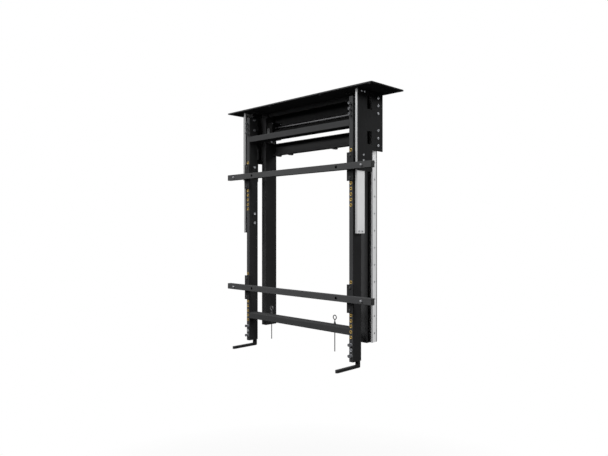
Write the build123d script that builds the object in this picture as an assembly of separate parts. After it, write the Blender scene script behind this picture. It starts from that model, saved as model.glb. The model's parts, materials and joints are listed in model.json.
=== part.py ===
"""Ceiling lift for a flat display, drawn up under its ceiling plate. Millimetres.

The origin is the middle of the ceiling plate's upper face. X runs along the plate,
-Y points to the display and Z up. Sided pieces are drawn on the +X side and mirrored.
"""

from build123d import *
import math
import os

# Ceiling plate
plate_length = 675.0
plate_depth = 160.0
plate_thickness = 4.0
plate_corner_radius = 3.0
ceiling_hole_radius = 4.5
ceiling_hole_inset_x = 17.5
ceiling_hole_inset_y = 10.0
inner_hole_spacing = 240.0

# Rear columns: channels with a slot along the outer side
column_length = 778.0
column_width = 22.0
column_depth = 52.0
column_wall = 3.0
column_front_y = 10.0
column_inset = 89.9
column_front_lip = 7.0
column_slot_width = 8.0
column_end_thickness = 2.0

# Guide rails on the columns' outer sides
rail_width = 26.0
rail_neck_width = 18.0
rail_thickness = 8.4
rail_head_thickness = 5.0
rail_edge_chamfer = 0.8
race_edge_margin = 0.8
race_width = 3.4
race_depth = 1.2
race_sink = 0.1
rail_top_gap = 6.0
rail_screw_count = 14
rail_screw_pitch = 53.4
rail_screw_margin = 28.0
rail_screw_radius = 1.9
rail_screw_head_radius = 3.0
rail_screw_head_height = 2.4
rail_screw_recess = 3.2
rail_screw_recess_radius = 3.4

# Folded sheet between the columns
sheet_thickness = 2.0
header_height = 15.5
header_shelf_depth = 18.0
gusset_thickness = 3.0
gusset_offset = 18.0
gusset_front_gap = 3.0
gusset_tip_height = 1.5
panel_height = 86.0
rear_beam_drop = 109.0
rear_beam_height = 42.0
rear_flange_depth = 20.0
bumper_width = 26.0
bumper_depth = 18.0
bumper_height = 5.5
bumper_slope_width = 17.0
bumper_corner_radius = 3.0
first_bumper_step = 20.6
second_bumper_step = 82.6
third_bumper_step = 297.6

# Synchronising shaft and belt drive
shaft_radius = 5.0
shaft_drop = 54.0
shaft_end_gap = 4.0
running_gap = 0.05
bearing_flange_radius = 13.0
bearing_flange_thickness = 3.4
bearing_hub_radius = 9.5
bearing_hub_overhang = 1.2
belt_width = 8.0
belt_thickness = 1.5
belt_gap = 0.3
pulley_radius = 10.2
pulley_flange_radius = 13.5
pulley_flange_thickness = 1.2
pulley_side_gap = 0.6
idler_axle_radius = 4.0
idler_height = 30.0

# Gear pair between the motor and the shaft
gear_module = 1.0
shaft_gear_teeth = 28
pinion_teeth = 20
gear_width = 8.0
gear_backlash = 0.2
gear_clearance = 0.25
pressure_angle = 20.0
motor_offset_y = 8.0

# Gearbox and tubular motor
housing_wall = 2.0
housing_gap = 3.6
housing_length = 28.0
housing_margin = 2.0
housing_ear_drop = 12.0
housing_ear_depth = 40.0
motor_radius = 18.0
motor_end_gap = 29.0
motor_shaft_radius = 4.0
motor_shaft_length = 10.0
end_boss_radius = 12.0
end_bracket_thickness = 3.0
end_bracket_width = 44.0
end_bracket_height = 50.0
end_bolt_spacing = 34.0
frame_bolt_radius = 3.0

# Carriage side plates
side_thickness = 3.0
side_top_gap = 2.0
side_front_y = -59.0
side_step_y = 8.4
side_rear_height = 180.0
side_front_height = 246.0
side_lip_width = 10.0
side_lip_front_y = -22.0
side_lip_rear_y = 18.0
slot_width = 24.0
slot_height = 40.0
slot_middle_y = -3.6
slot_drops = (37.5, 144.8)
slot_corner_radius = 1.5

# Glide blocks
glide_gap = 0.3
glide_back_thickness = 10.7
glide_column_gap = 0.6
glide_margin = 4.0
glide_height = 64.0
glide_drops = (41.2, 141.6)
glide_bolt_pitch = 23.4
button_head_radius = 5.0
button_head_height = 2.8
bolt_radius = 3.0
bolt_clearance = 0.2

# Belt clamps
clamp_height = 26.0
clamp_thickness = 6.0
clamp_foot_width = 22.0
clamp_foot_thickness = 3.0

# Flat strips, spacers and uprights
strip_thickness = 7.5
strip_width = 35.0
strip_length = 435.0
spacer_length = 8.5
spacer_radius = 7.0
upright_width = 15.5
upright_depth = 40.0
upright_wall = 2.0
upright_corner_radius = 1.5
upright_top_gap = 22.0
upright_length = 804.5
strut_bolt_y = -37.0
strut_bolt_drops = (30.0, 65.5, 200.0, 234.5, 369.0, 402.0)
strut_thread_depth = 3.0
strut_head_radius = 4.5
strut_head_height = 3.5
small_screw_radius = 1.9
small_head_radius = 3.2
small_head_height = 1.6
small_screw_depth = 3.5
top_screw_ys = (-42.0, -28.0)
top_screw_drop = 5.0
low_screw_y = -33.0
low_screw_rises = (48.0, 31.5)
strip_screw_ys = (-49.3, -34.6)
strip_screw_rise = 6.0

# Rivet nuts in the uprights' front faces
rivet_pitch = 50.0 / 3.0
rivet_count = 11
rivet_flange_radius = 5.0
rivet_flange_thickness = 1.0
rivet_body_radius = 4.3
rivet_bore_radius = 3.1
rivet_body_length = 10.0
upper_rivet_drop = 185.0
crossbar_rivet_step = 3

# Crossbars and their mounting plates
display_hole_width = 600.0
display_inner_width = 400.0
display_hole_height = 400.0
display_hole_radius = 4.5
stud_hole_radius = 3.3
crossbar_overhang = 37.5
crossbar_depth = 15.0
crossbar_height = 20.0
crossbar_wall = 1.5
crossbar_corner_radius = 1.0
cap_thickness = 2.0
cap_plug_length = 6.0
cap_plug_gap = 0.1
mount_plate_width = 25.0
mount_plate_height = 86.0
mount_plate_thickness = 4.0
mount_bolt_step = 2
mount_bolt_length = 12.0
stud_radius = 3.0
stud_reach = 6.0
stud_shank_radius = 2.7
stud_thread_gap = 0.4
stud_head_flats = 10.0
stud_head_height = 4.0

# Beams between the uprights
upper_beam_drop = 91.0
lower_tube_drop = 726.0
beam_height = 20.0
beam_wall = 2.0
lug_x = -136.0
lug_width = 14.0
lug_top_width = 9.0
lug_height = 18.0
lug_setback = 3.0
lug_thickness = 2.0
lug_hole_radius = 2.0

# Eye bolts through the lower tube
eye_bolt_x = 150.0
eye_back_inset = 9.0
eye_rod_radius = 1.6
eye_ring_radius = 6.6
eye_wire_radius = 1.6
eye_rise = 22.0
eye_rod_drop = 87.0
eye_hole_gap = 0.2
eye_nut_flats = 7.0
eye_nut_height = 3.2
eye_cone_height = 5.5
eye_cone_top_radius = 2.2

# Feet for the ceiling hatch
foot_gap = 0.3
foot_post_depth = 11.2
foot_post_top = 118.0
foot_post_reach = 21.5
foot_arm_thickness = 8.5
foot_arm_length = 106.5
foot_heel_radius = 4.0
clamp_bolt_drops = (19.4, 52.9)
spare_nut_drop = 36.2
clamp_bolt_reach = 8.0
clamp_head_flats = 8.5
clamp_head_height = 4.0
top_bolt_drops = (22.5, 39.2, 55.9)
top_bolt_reach = 7.0
top_bolt_depth = 20.0

# Places worked out from the sizes above
plate_front_y = -plate_depth / 2
plate_under_z = -plate_thickness
column_outer_x = plate_length / 2 - column_inset
column_inner_x = column_outer_x - column_width
column_back_y = column_front_y + column_depth
column_bottom_z = plate_under_z - column_length
column_lip_y = column_front_y + column_front_lip
rail_front_y = column_lip_y + column_slot_width
rail_middle_y = rail_front_y + rail_width / 2
rail_outer_x = column_outer_x + rail_thickness
rail_head_x = rail_outer_x - rail_head_thickness
belt_pitch_radius = pulley_radius + belt_gap + belt_thickness / 2
belt_middle_x = column_outer_x - column_width / 2
belt_run_y = column_lip_y + column_slot_width / 2
shaft_y = belt_run_y + belt_pitch_radius
shaft_z = plate_under_z - shaft_drop
idler_z = column_bottom_z + idler_height
bearing_inner_x = column_inner_x - bearing_flange_thickness
gear_distance = gear_module * (shaft_gear_teeth + pinion_teeth) / 2
motor_y = shaft_y + motor_offset_y
motor_z = shaft_z - math.sqrt(gear_distance ** 2 - motor_offset_y ** 2)
shaft_gear_tip = gear_module * (shaft_gear_teeth / 2 + 1)
pinion_tip = gear_module * (pinion_teeth / 2 + 1)
housing_left_x = -column_inner_x + housing_gap
housing_right_x = housing_left_x + housing_length
gear_middle_x = (housing_left_x + housing_right_x) / 2
side_inner_x = rail_outer_x + glide_gap + glide_back_thickness
side_outer_x = side_inner_x + side_thickness
side_top_z = plate_under_z - side_top_gap
strip_inner_x = side_inner_x - strip_thickness
upright_outer_x = strip_inner_x - spacer_length
upright_inner_x = upright_outer_x - upright_width
upright_middle_x = (upright_inner_x + upright_outer_x) / 2
crossbar_end_x = display_hole_width / 2 + crossbar_overhang
crossbar_back_y = plate_front_y + crossbar_depth
mount_plate_back_y = crossbar_back_y + mount_plate_thickness
upright_front_y = mount_plate_back_y + rivet_flange_thickness
upright_back_y = upright_front_y + upright_depth
upright_top_z = plate_under_z - upright_top_gap
upright_bottom_z = upright_top_z - upright_length
upper_rivet_z = plate_under_z - upper_rivet_drop
lower_rivet_z = upper_rivet_z - display_hole_height
upper_crossbar_z = upper_rivet_z - crossbar_rivet_step * rivet_pitch
lower_crossbar_z = upper_crossbar_z - display_hole_height
lower_tube_top_z = plate_under_z - lower_tube_drop
eye_y = upright_back_y - eye_back_inset


def block(x, y, z):
    """Box that fills the given X, Y and Z ranges."""
    sizes = [abs(span[1] - span[0]) for span in (x, y, z)]
    middle = [(span[0] + span[1]) / 2 for span in (x, y, z)]
    return Pos(*middle) * Box(*sizes)


def rod_x(x, y, z, radius):
    return Pos((x[0] + x[1]) / 2, y, z) * Rot(0, 90, 0) * Cylinder(radius, abs(x[1] - x[0]))


def rod_y(x, y, z, radius):
    return Pos(x, (y[0] + y[1]) / 2, z) * Rot(90, 0, 0) * Cylinder(radius, abs(y[1] - y[0]))


def rod_z(x, y, z, radius):
    return Pos(x, y, (z[0] + z[1]) / 2) * Cylinder(radius, abs(z[1] - z[0]))


def hexagon(flats):
    return RegularPolygon(flats / math.sqrt(3), 6)


def hex_y(x, y, z, flats):
    prism = extrude(hexagon(flats), amount=abs(y[1] - y[0]) / 2, both=True)
    return Pos(x, (y[0] + y[1]) / 2, z) * Rot(90, 0, 0) * prism


def hex_z(x, y, z, flats):
    prism = extrude(hexagon(flats), amount=abs(z[1] - z[0]) / 2, both=True)
    return Pos(x, y, (z[0] + z[1]) / 2) * prism


def tube(width, height, length, wall, corner):
    """Rectangular tube along Z, width along X and height along Y, centred."""
    inside = max(corner - wall, 0.3)
    outline = RectangleRounded(width, height, min(corner, width / 3))
    hollow = RectangleRounded(width - 2 * wall, height - 2 * wall, inside)
    return extrude(outline - hollow, amount=length / 2, both=True)


def cross_tube(depth, height, length, wall, corner):
    """The same tube laid along X, depth along Y and height along Z."""
    return Rot(0, 90, 0) * Rot(0, 0, 90) * tube(depth, height, length, wall, corner)


def mirrored(piece):
    return mirror(piece, about=Plane.YZ)


def save(name, *pieces):
    """Writes the solids of one sub-part to its own file."""
    solids = [solid for piece in pieces for solid in piece.solids()]
    export_step(Compound(solids), f"parts/{name}.step")


def save_sides(name, piece):
    """Writes a piece of the +X side and its mirror image."""
    save(f"{name}_right", piece)
    save(f"{name}_left", mirrored(piece))


def save_group(name, pieces):
    """Writes pieces of the +X side and their mirror images as one group."""
    save(name, *pieces, *[mirrored(piece) for piece in pieces])


def rivet_rows():
    """Heights of every rivet nut, upper field first."""
    fields = (upper_rivet_z, lower_rivet_z)
    return [top - step * rivet_pitch for top in fields for step in range(rivet_count)]


def mount_bolt_rows():
    """Heights of the bolts that hold the mounting plates."""
    reach = mount_bolt_step * rivet_pitch
    middles = (upper_crossbar_z, lower_crossbar_z)
    return [middle + side * reach for middle in middles for side in (1, -1)]


def ceiling_plate():
    outline = RectangleRounded(plate_length, plate_depth, plate_corner_radius)
    plate = extrude(outline, amount=-plate_thickness)
    outer_x = plate_length / 2 - ceiling_hole_inset_x
    hole_y = plate_depth / 2 - ceiling_hole_inset_y
    for x in (-outer_x, -inner_hole_spacing / 2, inner_hole_spacing / 2, outer_x):
        for y in (-hole_y, hole_y):
            plate -= rod_z(x, y, (1, plate_under_z - 1), ceiling_hole_radius)
    return plate


def header_angle():
    """Angle under the plate: a leg that hangs at the columns' fronts and a shelf behind it."""
    width = (-column_inner_x, column_inner_x)
    leg_y = (column_front_y, column_front_y + sheet_thickness)
    leg = block(width, leg_y, (plate_under_z, plate_under_z - header_height))
    shelf_y = (column_front_y, column_front_y + header_shelf_depth)
    shelf = block(width, shelf_y, (plate_under_z, plate_under_z - sheet_thickness))
    return leg + shelf


def plate_gusset():
    """Wedge from the plate's front edge, growing to the header's height."""
    tip_y = plate_front_y + gusset_front_gap
    corners = [
        (tip_y, plate_under_z),
        (column_front_y, plate_under_z),
        (column_front_y, plate_under_z - header_height),
        (tip_y, plate_under_z - gusset_tip_height),
    ]
    inner_x = column_inner_x - gusset_offset
    outline = Plane.YZ.offset(inner_x) * Polygon(*corners, align=None)
    return extrude(outline, amount=gusset_thickness, dir=(1, 0, 0))


def rear_panel():
    width = (-column_inner_x, column_inner_x)
    depth = (column_back_y - sheet_thickness, column_back_y)
    return block(width, depth, (plate_under_z, plate_under_z - panel_height))


def rear_beam():
    """Channel with its web at the back and both flanges pointing forward."""
    top = plate_under_z - rear_beam_drop
    bottom = top - rear_beam_height
    width = (-column_inner_x, column_inner_x)
    front_y = column_back_y - rear_flange_depth
    outside = block(width, (front_y, column_back_y), (top, bottom))
    inside_y = (front_y - 1, column_back_y - sheet_thickness)
    inside = block(width, inside_y, (top - sheet_thickness, bottom + sheet_thickness))
    return outside - inside


def beam_bumper(step):
    """Moulded stop under the rear beam: a long slope on its left, a steep end on its right."""
    top = plate_under_z - rear_beam_drop - rear_beam_height
    bottom = top - bumper_height
    left = step - column_inner_x - bumper_width / 2
    right = left + bumper_width
    corners = [(left, top), (left + bumper_slope_width, bottom), (right, bottom), (right, top)]
    middle_y = column_back_y - rear_flange_depth / 2
    outline = Plane.XZ.offset(-middle_y) * Polygon(*corners, align=None)
    stop = extrude(outline, amount=bumper_depth / 2, both=True)
    lower_edges = stop.edges().filter_by(Axis.Y).sort_by(Axis.Z)[:2]
    return fillet(lower_edges, bumper_corner_radius)


def column():
    """Slotted channel with a closed foot; its wide rear lip holds the rail."""
    height = (plate_under_z, column_bottom_z)
    outside = block((column_inner_x, column_outer_x), (column_front_y, column_back_y), height)
    cavity_x = (column_inner_x + column_wall, column_outer_x - column_wall)
    cavity_y = (column_front_y + column_wall, column_back_y - column_wall)
    past = (height[0] + 1, height[1] + column_end_thickness)
    outside -= block(cavity_x, cavity_y, past)
    slot_x = (cavity_x[1] - 1, column_outer_x + 1)
    outside -= block(slot_x, (column_lip_y, rail_front_y), past)
    web_x = (column_inner_x - 1, column_inner_x + column_wall + 1)
    outside -= rod_x(web_x, shaft_y, shaft_z, bearing_hub_radius)
    axle_x = (column_inner_x - 1, column_outer_x + 1)
    outside -= rod_x(axle_x, shaft_y, idler_z, idler_axle_radius)
    for z in rail_screw_rows():
        outside -= rod_x(slot_x, rail_middle_y, z, rail_screw_radius)
    return outside


def rail_screw_rows():
    lowest = column_bottom_z + rail_screw_margin
    return [lowest + step * rail_screw_pitch for step in range(rail_screw_count)]


def race_spans():
    """Y ranges of the steel tracks along both edges of the rail's face."""
    front = rail_front_y + race_edge_margin
    back = rail_front_y + rail_width - race_edge_margin
    return (front, front + race_width), (back - race_width, back)


def rail_races():
    """Steel tracks let into the rail's face."""
    height = (plate_under_z - rail_top_gap, column_bottom_z)
    x = (rail_outer_x - race_depth, rail_outer_x - race_sink)
    return [block(x, track_y, height) for track_y in race_spans()]


def rail():
    """T-shaped rail, neck on the column and head outwards, with counterbored holes."""
    height = (plate_under_z - rail_top_gap, column_bottom_z)
    neck_y = (rail_middle_y - rail_neck_width / 2, rail_middle_y + rail_neck_width / 2)
    neck = block((column_outer_x, rail_head_x), neck_y, height)
    head_y = (rail_front_y, rail_front_y + rail_width)
    head = block((rail_head_x, rail_outer_x), head_y, height)
    outer_edges = head.faces().sort_by(Axis.X)[-1].edges().filter_by(Axis.Z)
    bar = neck + chamfer(outer_edges, rail_edge_chamfer)
    for groove_y in race_spans():
        bar -= block((rail_outer_x - race_depth, rail_outer_x + 1), groove_y, height)
    seat_x = rail_outer_x - rail_screw_recess
    for z in rail_screw_rows():
        bar -= rod_x((column_outer_x - 1, rail_outer_x + 1), rail_middle_y, z, rail_screw_radius)
        bar -= rod_x((seat_x, rail_outer_x + 1), rail_middle_y, z, rail_screw_recess_radius)
    return bar


def rail_screw(z):
    """Screw sunk into the rail, its tip level with the inside of the column's wall."""
    seat_x = rail_outer_x - rail_screw_recess
    screw = rod_x((column_outer_x - column_wall, seat_x), rail_middle_y, z, rail_screw_radius)
    head_x = (seat_x, seat_x + rail_screw_head_height)
    return screw + rod_x(head_x, rail_middle_y, z, rail_screw_head_radius)


def shaft():
    reach = column_outer_x - shaft_end_gap
    return rod_x((-reach, reach), shaft_y, shaft_z, shaft_radius)


def shaft_bearing():
    """Flanged bush in the column's inner side."""
    hub_end = column_inner_x + column_wall + bearing_hub_overhang
    bush = rod_x((bearing_inner_x, column_inner_x), shaft_y, shaft_z, bearing_flange_radius)
    bush += rod_x((column_inner_x, hub_end), shaft_y, shaft_z, bearing_hub_radius)
    past = (bearing_inner_x - 1, hub_end + 1)
    return bush - rod_x(past, shaft_y, shaft_z, shaft_radius + running_gap)


def belt_wheel(z, bore):
    """Pulley with two flanges that keep the belt on it."""
    half = belt_width / 2 + pulley_side_gap
    x = (belt_middle_x - half, belt_middle_x + half)
    wheel = rod_x(x, shaft_y, z, pulley_radius)
    for edge, out in ((x[0], -1), (x[1], 1)):
        rim = (edge, edge + out * pulley_flange_thickness)
        wheel += rod_x(rim, shaft_y, z, pulley_flange_radius)
    past = (x[0] - 5, x[1] + 5)
    return wheel - rod_x(past, shaft_y, z, bore)


def belt():
    """Closed loop round the pulley above and the idler below."""
    inner = pulley_radius + belt_gap
    outer = inner + belt_thickness
    run = shaft_z - idler_z
    middle_z = (shaft_z + idler_z) / 2
    outline = SlotCenterToCenter(run, 2 * outer) - SlotCenterToCenter(run, 2 * inner)
    loop = extrude(outline, amount=belt_width / 2, both=True)
    return Pos(belt_middle_x, shaft_y, middle_z) * Rot(0, 90, 0) * loop


def idler_axle():
    return rod_x((column_inner_x, column_outer_x), shaft_y, idler_z, idler_axle_radius)


def flank_angle(teeth, radius):
    """Half the angle that an involute tooth covers at a radius."""
    pitch_radius = gear_module * teeth / 2
    slope = math.radians(pressure_angle)
    base_radius = pitch_radius * math.cos(slope)
    here = math.acos(min(base_radius / radius, 1.0))
    spread = (math.tan(slope) - slope) - (math.tan(here) - here)
    return math.pi / (2 * teeth) - gear_backlash / (2 * pitch_radius) + spread


def gear_outline(teeth, turn):
    """Involute gear outline with its first tooth at the given angle."""
    pitch_radius = gear_module * teeth / 2
    root = pitch_radius - gear_module - gear_clearance
    tip = pitch_radius + gear_module
    flank = [(radius, flank_angle(teeth, radius)) for radius in (root, pitch_radius, tip)]
    tooth = [(radius, -half) for radius, half in flank]
    tooth += [(radius, half) for radius, half in reversed(flank)]
    points = []
    for number in range(teeth):
        middle = turn + 2 * math.pi * number / teeth
        points += [(r * math.cos(middle + a), r * math.sin(middle + a)) for r, a in tooth]
    return Polygon(*points, align=None)


def gear(teeth, turn, y, z, bore):
    """Spur gear across the gearbox, its outline drawn in the YZ plane."""
    blank = extrude(Plane.YZ * gear_outline(teeth, turn), amount=gear_width / 2, both=True)
    wheel = Pos(gear_middle_x, y, z) * blank
    if bore:
        past = (gear_middle_x - gear_width, gear_middle_x + gear_width)
        wheel -= rod_x(past, y, z, bore)
    return wheel


def mesh_direction():
    """Angle in the YZ plane from the shaft's middle to the motor's."""
    return math.atan2(motor_z - shaft_z, motor_y - shaft_y)


def shaft_gear():
    return gear(shaft_gear_teeth, mesh_direction(), shaft_y, shaft_z, shaft_radius + running_gap)


def pinion():
    """Pinion with its shaft, a gap between two teeth facing the shaft gear."""
    turn = mesh_direction() + math.pi + math.pi / pinion_teeth
    wheel = gear(pinion_teeth, turn, motor_y, motor_z, 0)
    motor_end = housing_right_x + motor_shaft_length - glide_gap
    stem = (gear_middle_x - gear_width / 2 - 1, motor_end)
    return wheel + rod_x(stem, motor_y, motor_z, motor_shaft_radius)


def gearbox_housing():
    """Box round the gear pair, open to the motor, with an ear bolted to the column."""
    reach = housing_margin + housing_wall
    top = shaft_z + shaft_gear_tip + reach
    bottom = motor_z - pinion_tip - 2 * reach
    front = shaft_y - shaft_gear_tip - reach
    back = column_back_y - sheet_thickness - housing_margin
    outside = block((housing_left_x, housing_right_x - housing_wall), (front, back), (top, bottom))
    inner_x = (housing_left_x + housing_wall, housing_right_x + 1)
    inner_y = (front + housing_wall, back - housing_wall)
    outside -= block(inner_x, inner_y, (top - housing_wall, bottom + housing_wall))
    ear_x = (-column_inner_x, housing_left_x + housing_wall)
    ear_y = (shaft_y - housing_ear_depth / 2, shaft_y + housing_ear_depth / 2)
    outside += block(ear_x, ear_y, (bottom + housing_wall, bottom - housing_ear_drop))
    bolt_z = bottom - housing_ear_drop / 2
    outside -= rod_x((ear_x[0] - 1, ear_x[1] + 1), shaft_y, bolt_z, frame_bolt_radius)
    hole_x = (housing_left_x - 1, housing_left_x + housing_wall + 1)
    return outside - rod_x(hole_x, shaft_y, shaft_z, shaft_radius + 1)


def housing_bolt():
    """Bolt through the gearbox's ear into the column."""
    reach = housing_margin + housing_wall
    z = motor_z - pinion_tip - 2 * reach - housing_ear_drop / 2
    head_x = housing_left_x + housing_wall
    bolt = rod_x((-column_inner_x, head_x), shaft_y, z, frame_bolt_radius)
    return bolt + rod_x((head_x, head_x + button_head_height), shaft_y, z, button_head_radius)


def gearbox_cover():
    """Flat cover between the gearbox and the motor."""
    reach = housing_margin + housing_wall
    top = shaft_z + shaft_gear_tip + reach
    bottom = motor_z - pinion_tip - 2 * reach
    front = shaft_y - shaft_gear_tip - reach
    back = column_back_y - sheet_thickness - housing_margin
    x = (housing_right_x - housing_wall, housing_right_x)
    cover = block(x, (front, back), (top, bottom))
    past = (x[0] - 1, x[1] + 1)
    cover -= rod_x(past, shaft_y, shaft_z, shaft_radius + 1)
    return cover - rod_x(past, motor_y, motor_z, motor_shaft_radius + running_gap)


def motor_tube():
    """Tubular gear motor with a blind bore for the pinion's shaft."""
    end_x = column_inner_x - motor_end_gap
    body = rod_x((housing_right_x, end_x), motor_y, motor_z, motor_radius)
    bore = (housing_right_x - 1, housing_right_x + motor_shaft_length)
    return body - rod_x(bore, motor_y, motor_z, motor_shaft_radius + running_gap)


def motor_end_bracket():
    """Plate on the right-hand column with a boss that holds the motor's far end."""
    inner_x = column_inner_x - end_bracket_thickness
    y = (motor_y - end_bracket_width / 2, column_back_y - sheet_thickness)
    z = (motor_z + end_bracket_height / 2 - shaft_radius, motor_z - end_bracket_height / 2)
    plate = block((inner_x, column_inner_x), y, z)
    boss_x = (column_inner_x - motor_end_gap, inner_x)
    plate += rod_x(boss_x, motor_y, motor_z, end_boss_radius)
    clear_x = (inner_x - 1, column_inner_x + 1)
    plate -= rod_x(clear_x, shaft_y, shaft_z, bearing_flange_radius + 1)
    for bolt_y, bolt_z in end_bolt_places():
        plate -= rod_x(clear_x, bolt_y, bolt_z, frame_bolt_radius)
    return plate


def end_bolt_places():
    z = motor_z - end_bracket_height / 2 + 2 * frame_bolt_radius
    return [(motor_y + side * end_bolt_spacing / 2, z) for side in (-1, 1)]


def end_bolts():
    """Bolts through the motor's end bracket."""
    inner_x = column_inner_x - end_bracket_thickness
    bolts = []
    for y, z in end_bolt_places():
        bolt = rod_x((inner_x, column_inner_x), y, z, frame_bolt_radius)
        head_x = (inner_x - button_head_height, inner_x)
        bolts.append(bolt + rod_x(head_x, y, z, button_head_radius))
    return bolts


def glide_middles():
    return [plate_under_z - drop for drop in glide_drops]


def glide_bolt_rows():
    """Heights of the three bolts in each glide block."""
    steps = (1, 0, -1)
    return [middle + step * glide_bolt_pitch for middle in glide_middles() for step in steps]


def side_screw_places():
    """Y and Z of the small screws that hold the strip to the side plate."""
    upper = [(y, side_top_z - top_screw_drop) for y in top_screw_ys]
    front_bottom = side_top_z - side_front_height
    return upper + [(low_screw_y, front_bottom + rise) for rise in low_screw_rises]


def strip_screw_places():
    """Y and Z of the two small screws at the strip's lower end."""
    z = side_top_z - strip_length + strip_screw_rise
    return [(y, z) for y in strip_screw_ys]


def side_plate():
    """Plate that reaches from the glide blocks to the strip, with two slots and a folded lip."""
    rear_bottom = side_top_z - side_rear_height
    front_bottom = side_top_z - side_front_height
    corners = [
        (side_front_y, side_top_z),
        (column_back_y, side_top_z),
        (column_back_y, rear_bottom),
        (side_step_y, rear_bottom),
        (side_step_y, front_bottom),
        (side_front_y, front_bottom),
    ]
    outline = Plane.YZ.offset(side_inner_x) * Polygon(*corners, align=None)
    plate = extrude(outline, amount=side_thickness, dir=(1, 0, 0))
    lip_x = (side_inner_x - side_lip_width, side_inner_x)
    lip_z = (side_top_z, side_top_z - side_thickness)
    plate += block(lip_x, (side_lip_front_y, side_lip_rear_y), lip_z)
    for drop in slot_drops:
        slot = RectangleRounded(slot_width, slot_height, slot_corner_radius)
        cutter = Plane.YZ * extrude(slot, amount=side_thickness, both=True)
        plate -= Pos(side_inner_x + side_thickness / 2, slot_middle_y, plate_under_z - drop) * cutter
    past = (side_inner_x - 1, side_outer_x + 1)
    for z in glide_bolt_rows():
        plate -= rod_x(past, rail_middle_y, z, bolt_radius + bolt_clearance)
    for y, z in side_screw_places():
        plate -= rod_x(past, y, z, small_screw_radius)
    return plate


def glide_block(middle_z):
    """Polymer block that wraps the rail's head."""
    z = (middle_z + glide_height / 2, middle_z - glide_height / 2)
    past = (z[0] + 1, z[1] - 1)
    y = (rail_front_y - glide_margin, rail_front_y + rail_width + glide_margin)
    inner_x = column_outer_x + glide_column_gap
    body = block((inner_x, side_inner_x), y, z)
    head_y = (rail_front_y - glide_gap, rail_front_y + rail_width + glide_gap)
    body -= block((rail_head_x - glide_gap, rail_outer_x + glide_gap), head_y, past)
    neck_half = rail_neck_width / 2 + glide_gap
    neck_y = (rail_middle_y - neck_half, rail_middle_y + neck_half)
    body -= block((inner_x - 1, rail_head_x), neck_y, past)
    thread = (side_inner_x + 1, side_inner_x - glide_back_thickness + 2)
    for step in (-1, 0, 1):
        body -= rod_x(thread, rail_middle_y, middle_z + step * glide_bolt_pitch, bolt_radius)
    return body


def glide_bolt(z):
    tip_x = side_inner_x - glide_back_thickness + 2.5
    bolt = rod_x((tip_x, side_outer_x), rail_middle_y, z, bolt_radius)
    head_x = (side_outer_x, side_outer_x + button_head_height)
    return bolt + rod_x(head_x, rail_middle_y, z, button_head_radius)


def belt_clamp():
    """Bar through the column's slot that forks round the belt's front run."""
    middle_z = sum(glide_middles()) / 2
    z = (middle_z + clamp_height / 2, middle_z - clamp_height / 2)
    belt_half = belt_width / 2 + pulley_side_gap
    end_x = belt_middle_x - belt_half
    y = (belt_run_y - clamp_thickness / 2, belt_run_y + clamp_thickness / 2)
    bar = block((end_x, side_inner_x), y, z)
    foot_x = (side_inner_x - clamp_foot_thickness, side_inner_x)
    foot_y = (belt_run_y - clamp_foot_width / 2, belt_run_y + clamp_foot_width / 2)
    bar += block(foot_x, foot_y, z)
    fork_half = belt_thickness / 2 + belt_gap
    fork_x = (end_x - 1, belt_middle_x + belt_width / 2 + belt_gap)
    fork_y = (belt_run_y - fork_half, belt_run_y + fork_half)
    return bar - block(fork_x, fork_y, (z[0] + 1, z[1] - 1))


def strip():
    """Flat bar behind the side plate's front part."""
    z = (side_top_z, side_top_z - strip_length)
    y = (side_front_y, side_front_y + strip_width)
    bar = block((strip_inner_x, side_inner_x), y, z)
    for drop in strut_bolt_drops:
        hole_x = (strip_inner_x - 1, strip_inner_x + strut_thread_depth)
        bar -= rod_x(hole_x, strut_bolt_y, plate_under_z - drop, bolt_radius)
    for y, z in side_screw_places() + strip_screw_places():
        hole_x = (side_inner_x - small_screw_depth, side_inner_x + 1)
        bar -= rod_x(hole_x, y, z, small_screw_radius)
    return bar


def small_screw(seat_x, y, z):
    tip_x = side_inner_x - small_screw_depth
    screw = rod_x((tip_x, seat_x), y, z, small_screw_radius)
    return screw + rod_x((seat_x, seat_x + small_head_height), y, z, small_head_radius)


def strip_screws():
    screws = [small_screw(side_outer_x, y, z) for y, z in side_screw_places()]
    return screws + [small_screw(side_inner_x, y, z) for y, z in strip_screw_places()]


def spacer(drop):
    z = plate_under_z - drop
    ring = rod_x((upright_outer_x, strip_inner_x), strut_bolt_y, z, spacer_radius)
    past = (upright_outer_x - 1, strip_inner_x + 1)
    return ring - rod_x(past, strut_bolt_y, z, bolt_radius + bolt_clearance)


def strut_bolt(drop):
    """Bolt from inside the upright through the spacer into the strip."""
    z = plate_under_z - drop
    tip_x = strip_inner_x + strut_thread_depth
    bolt = rod_x((upright_inner_x, tip_x), strut_bolt_y, z, bolt_radius)
    head_x = (upright_inner_x - strut_head_height, upright_inner_x)
    return bolt + rod_x(head_x, strut_bolt_y, z, strut_head_radius)


def front_bolt_rows():
    """Heights of the bolts in the upright's front face, top ones first."""
    top = [upright_top_z - drop for drop in top_bolt_drops]
    return top, [upright_bottom_z + drop for drop in clamp_bolt_drops]


def clamp_nut_rows():
    """Heights of the nuts for the foot's bolts, with a spare one between them."""
    spare_z = upright_bottom_z + spare_nut_drop
    return sorted(front_bolt_rows()[1] + [spare_z])


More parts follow.
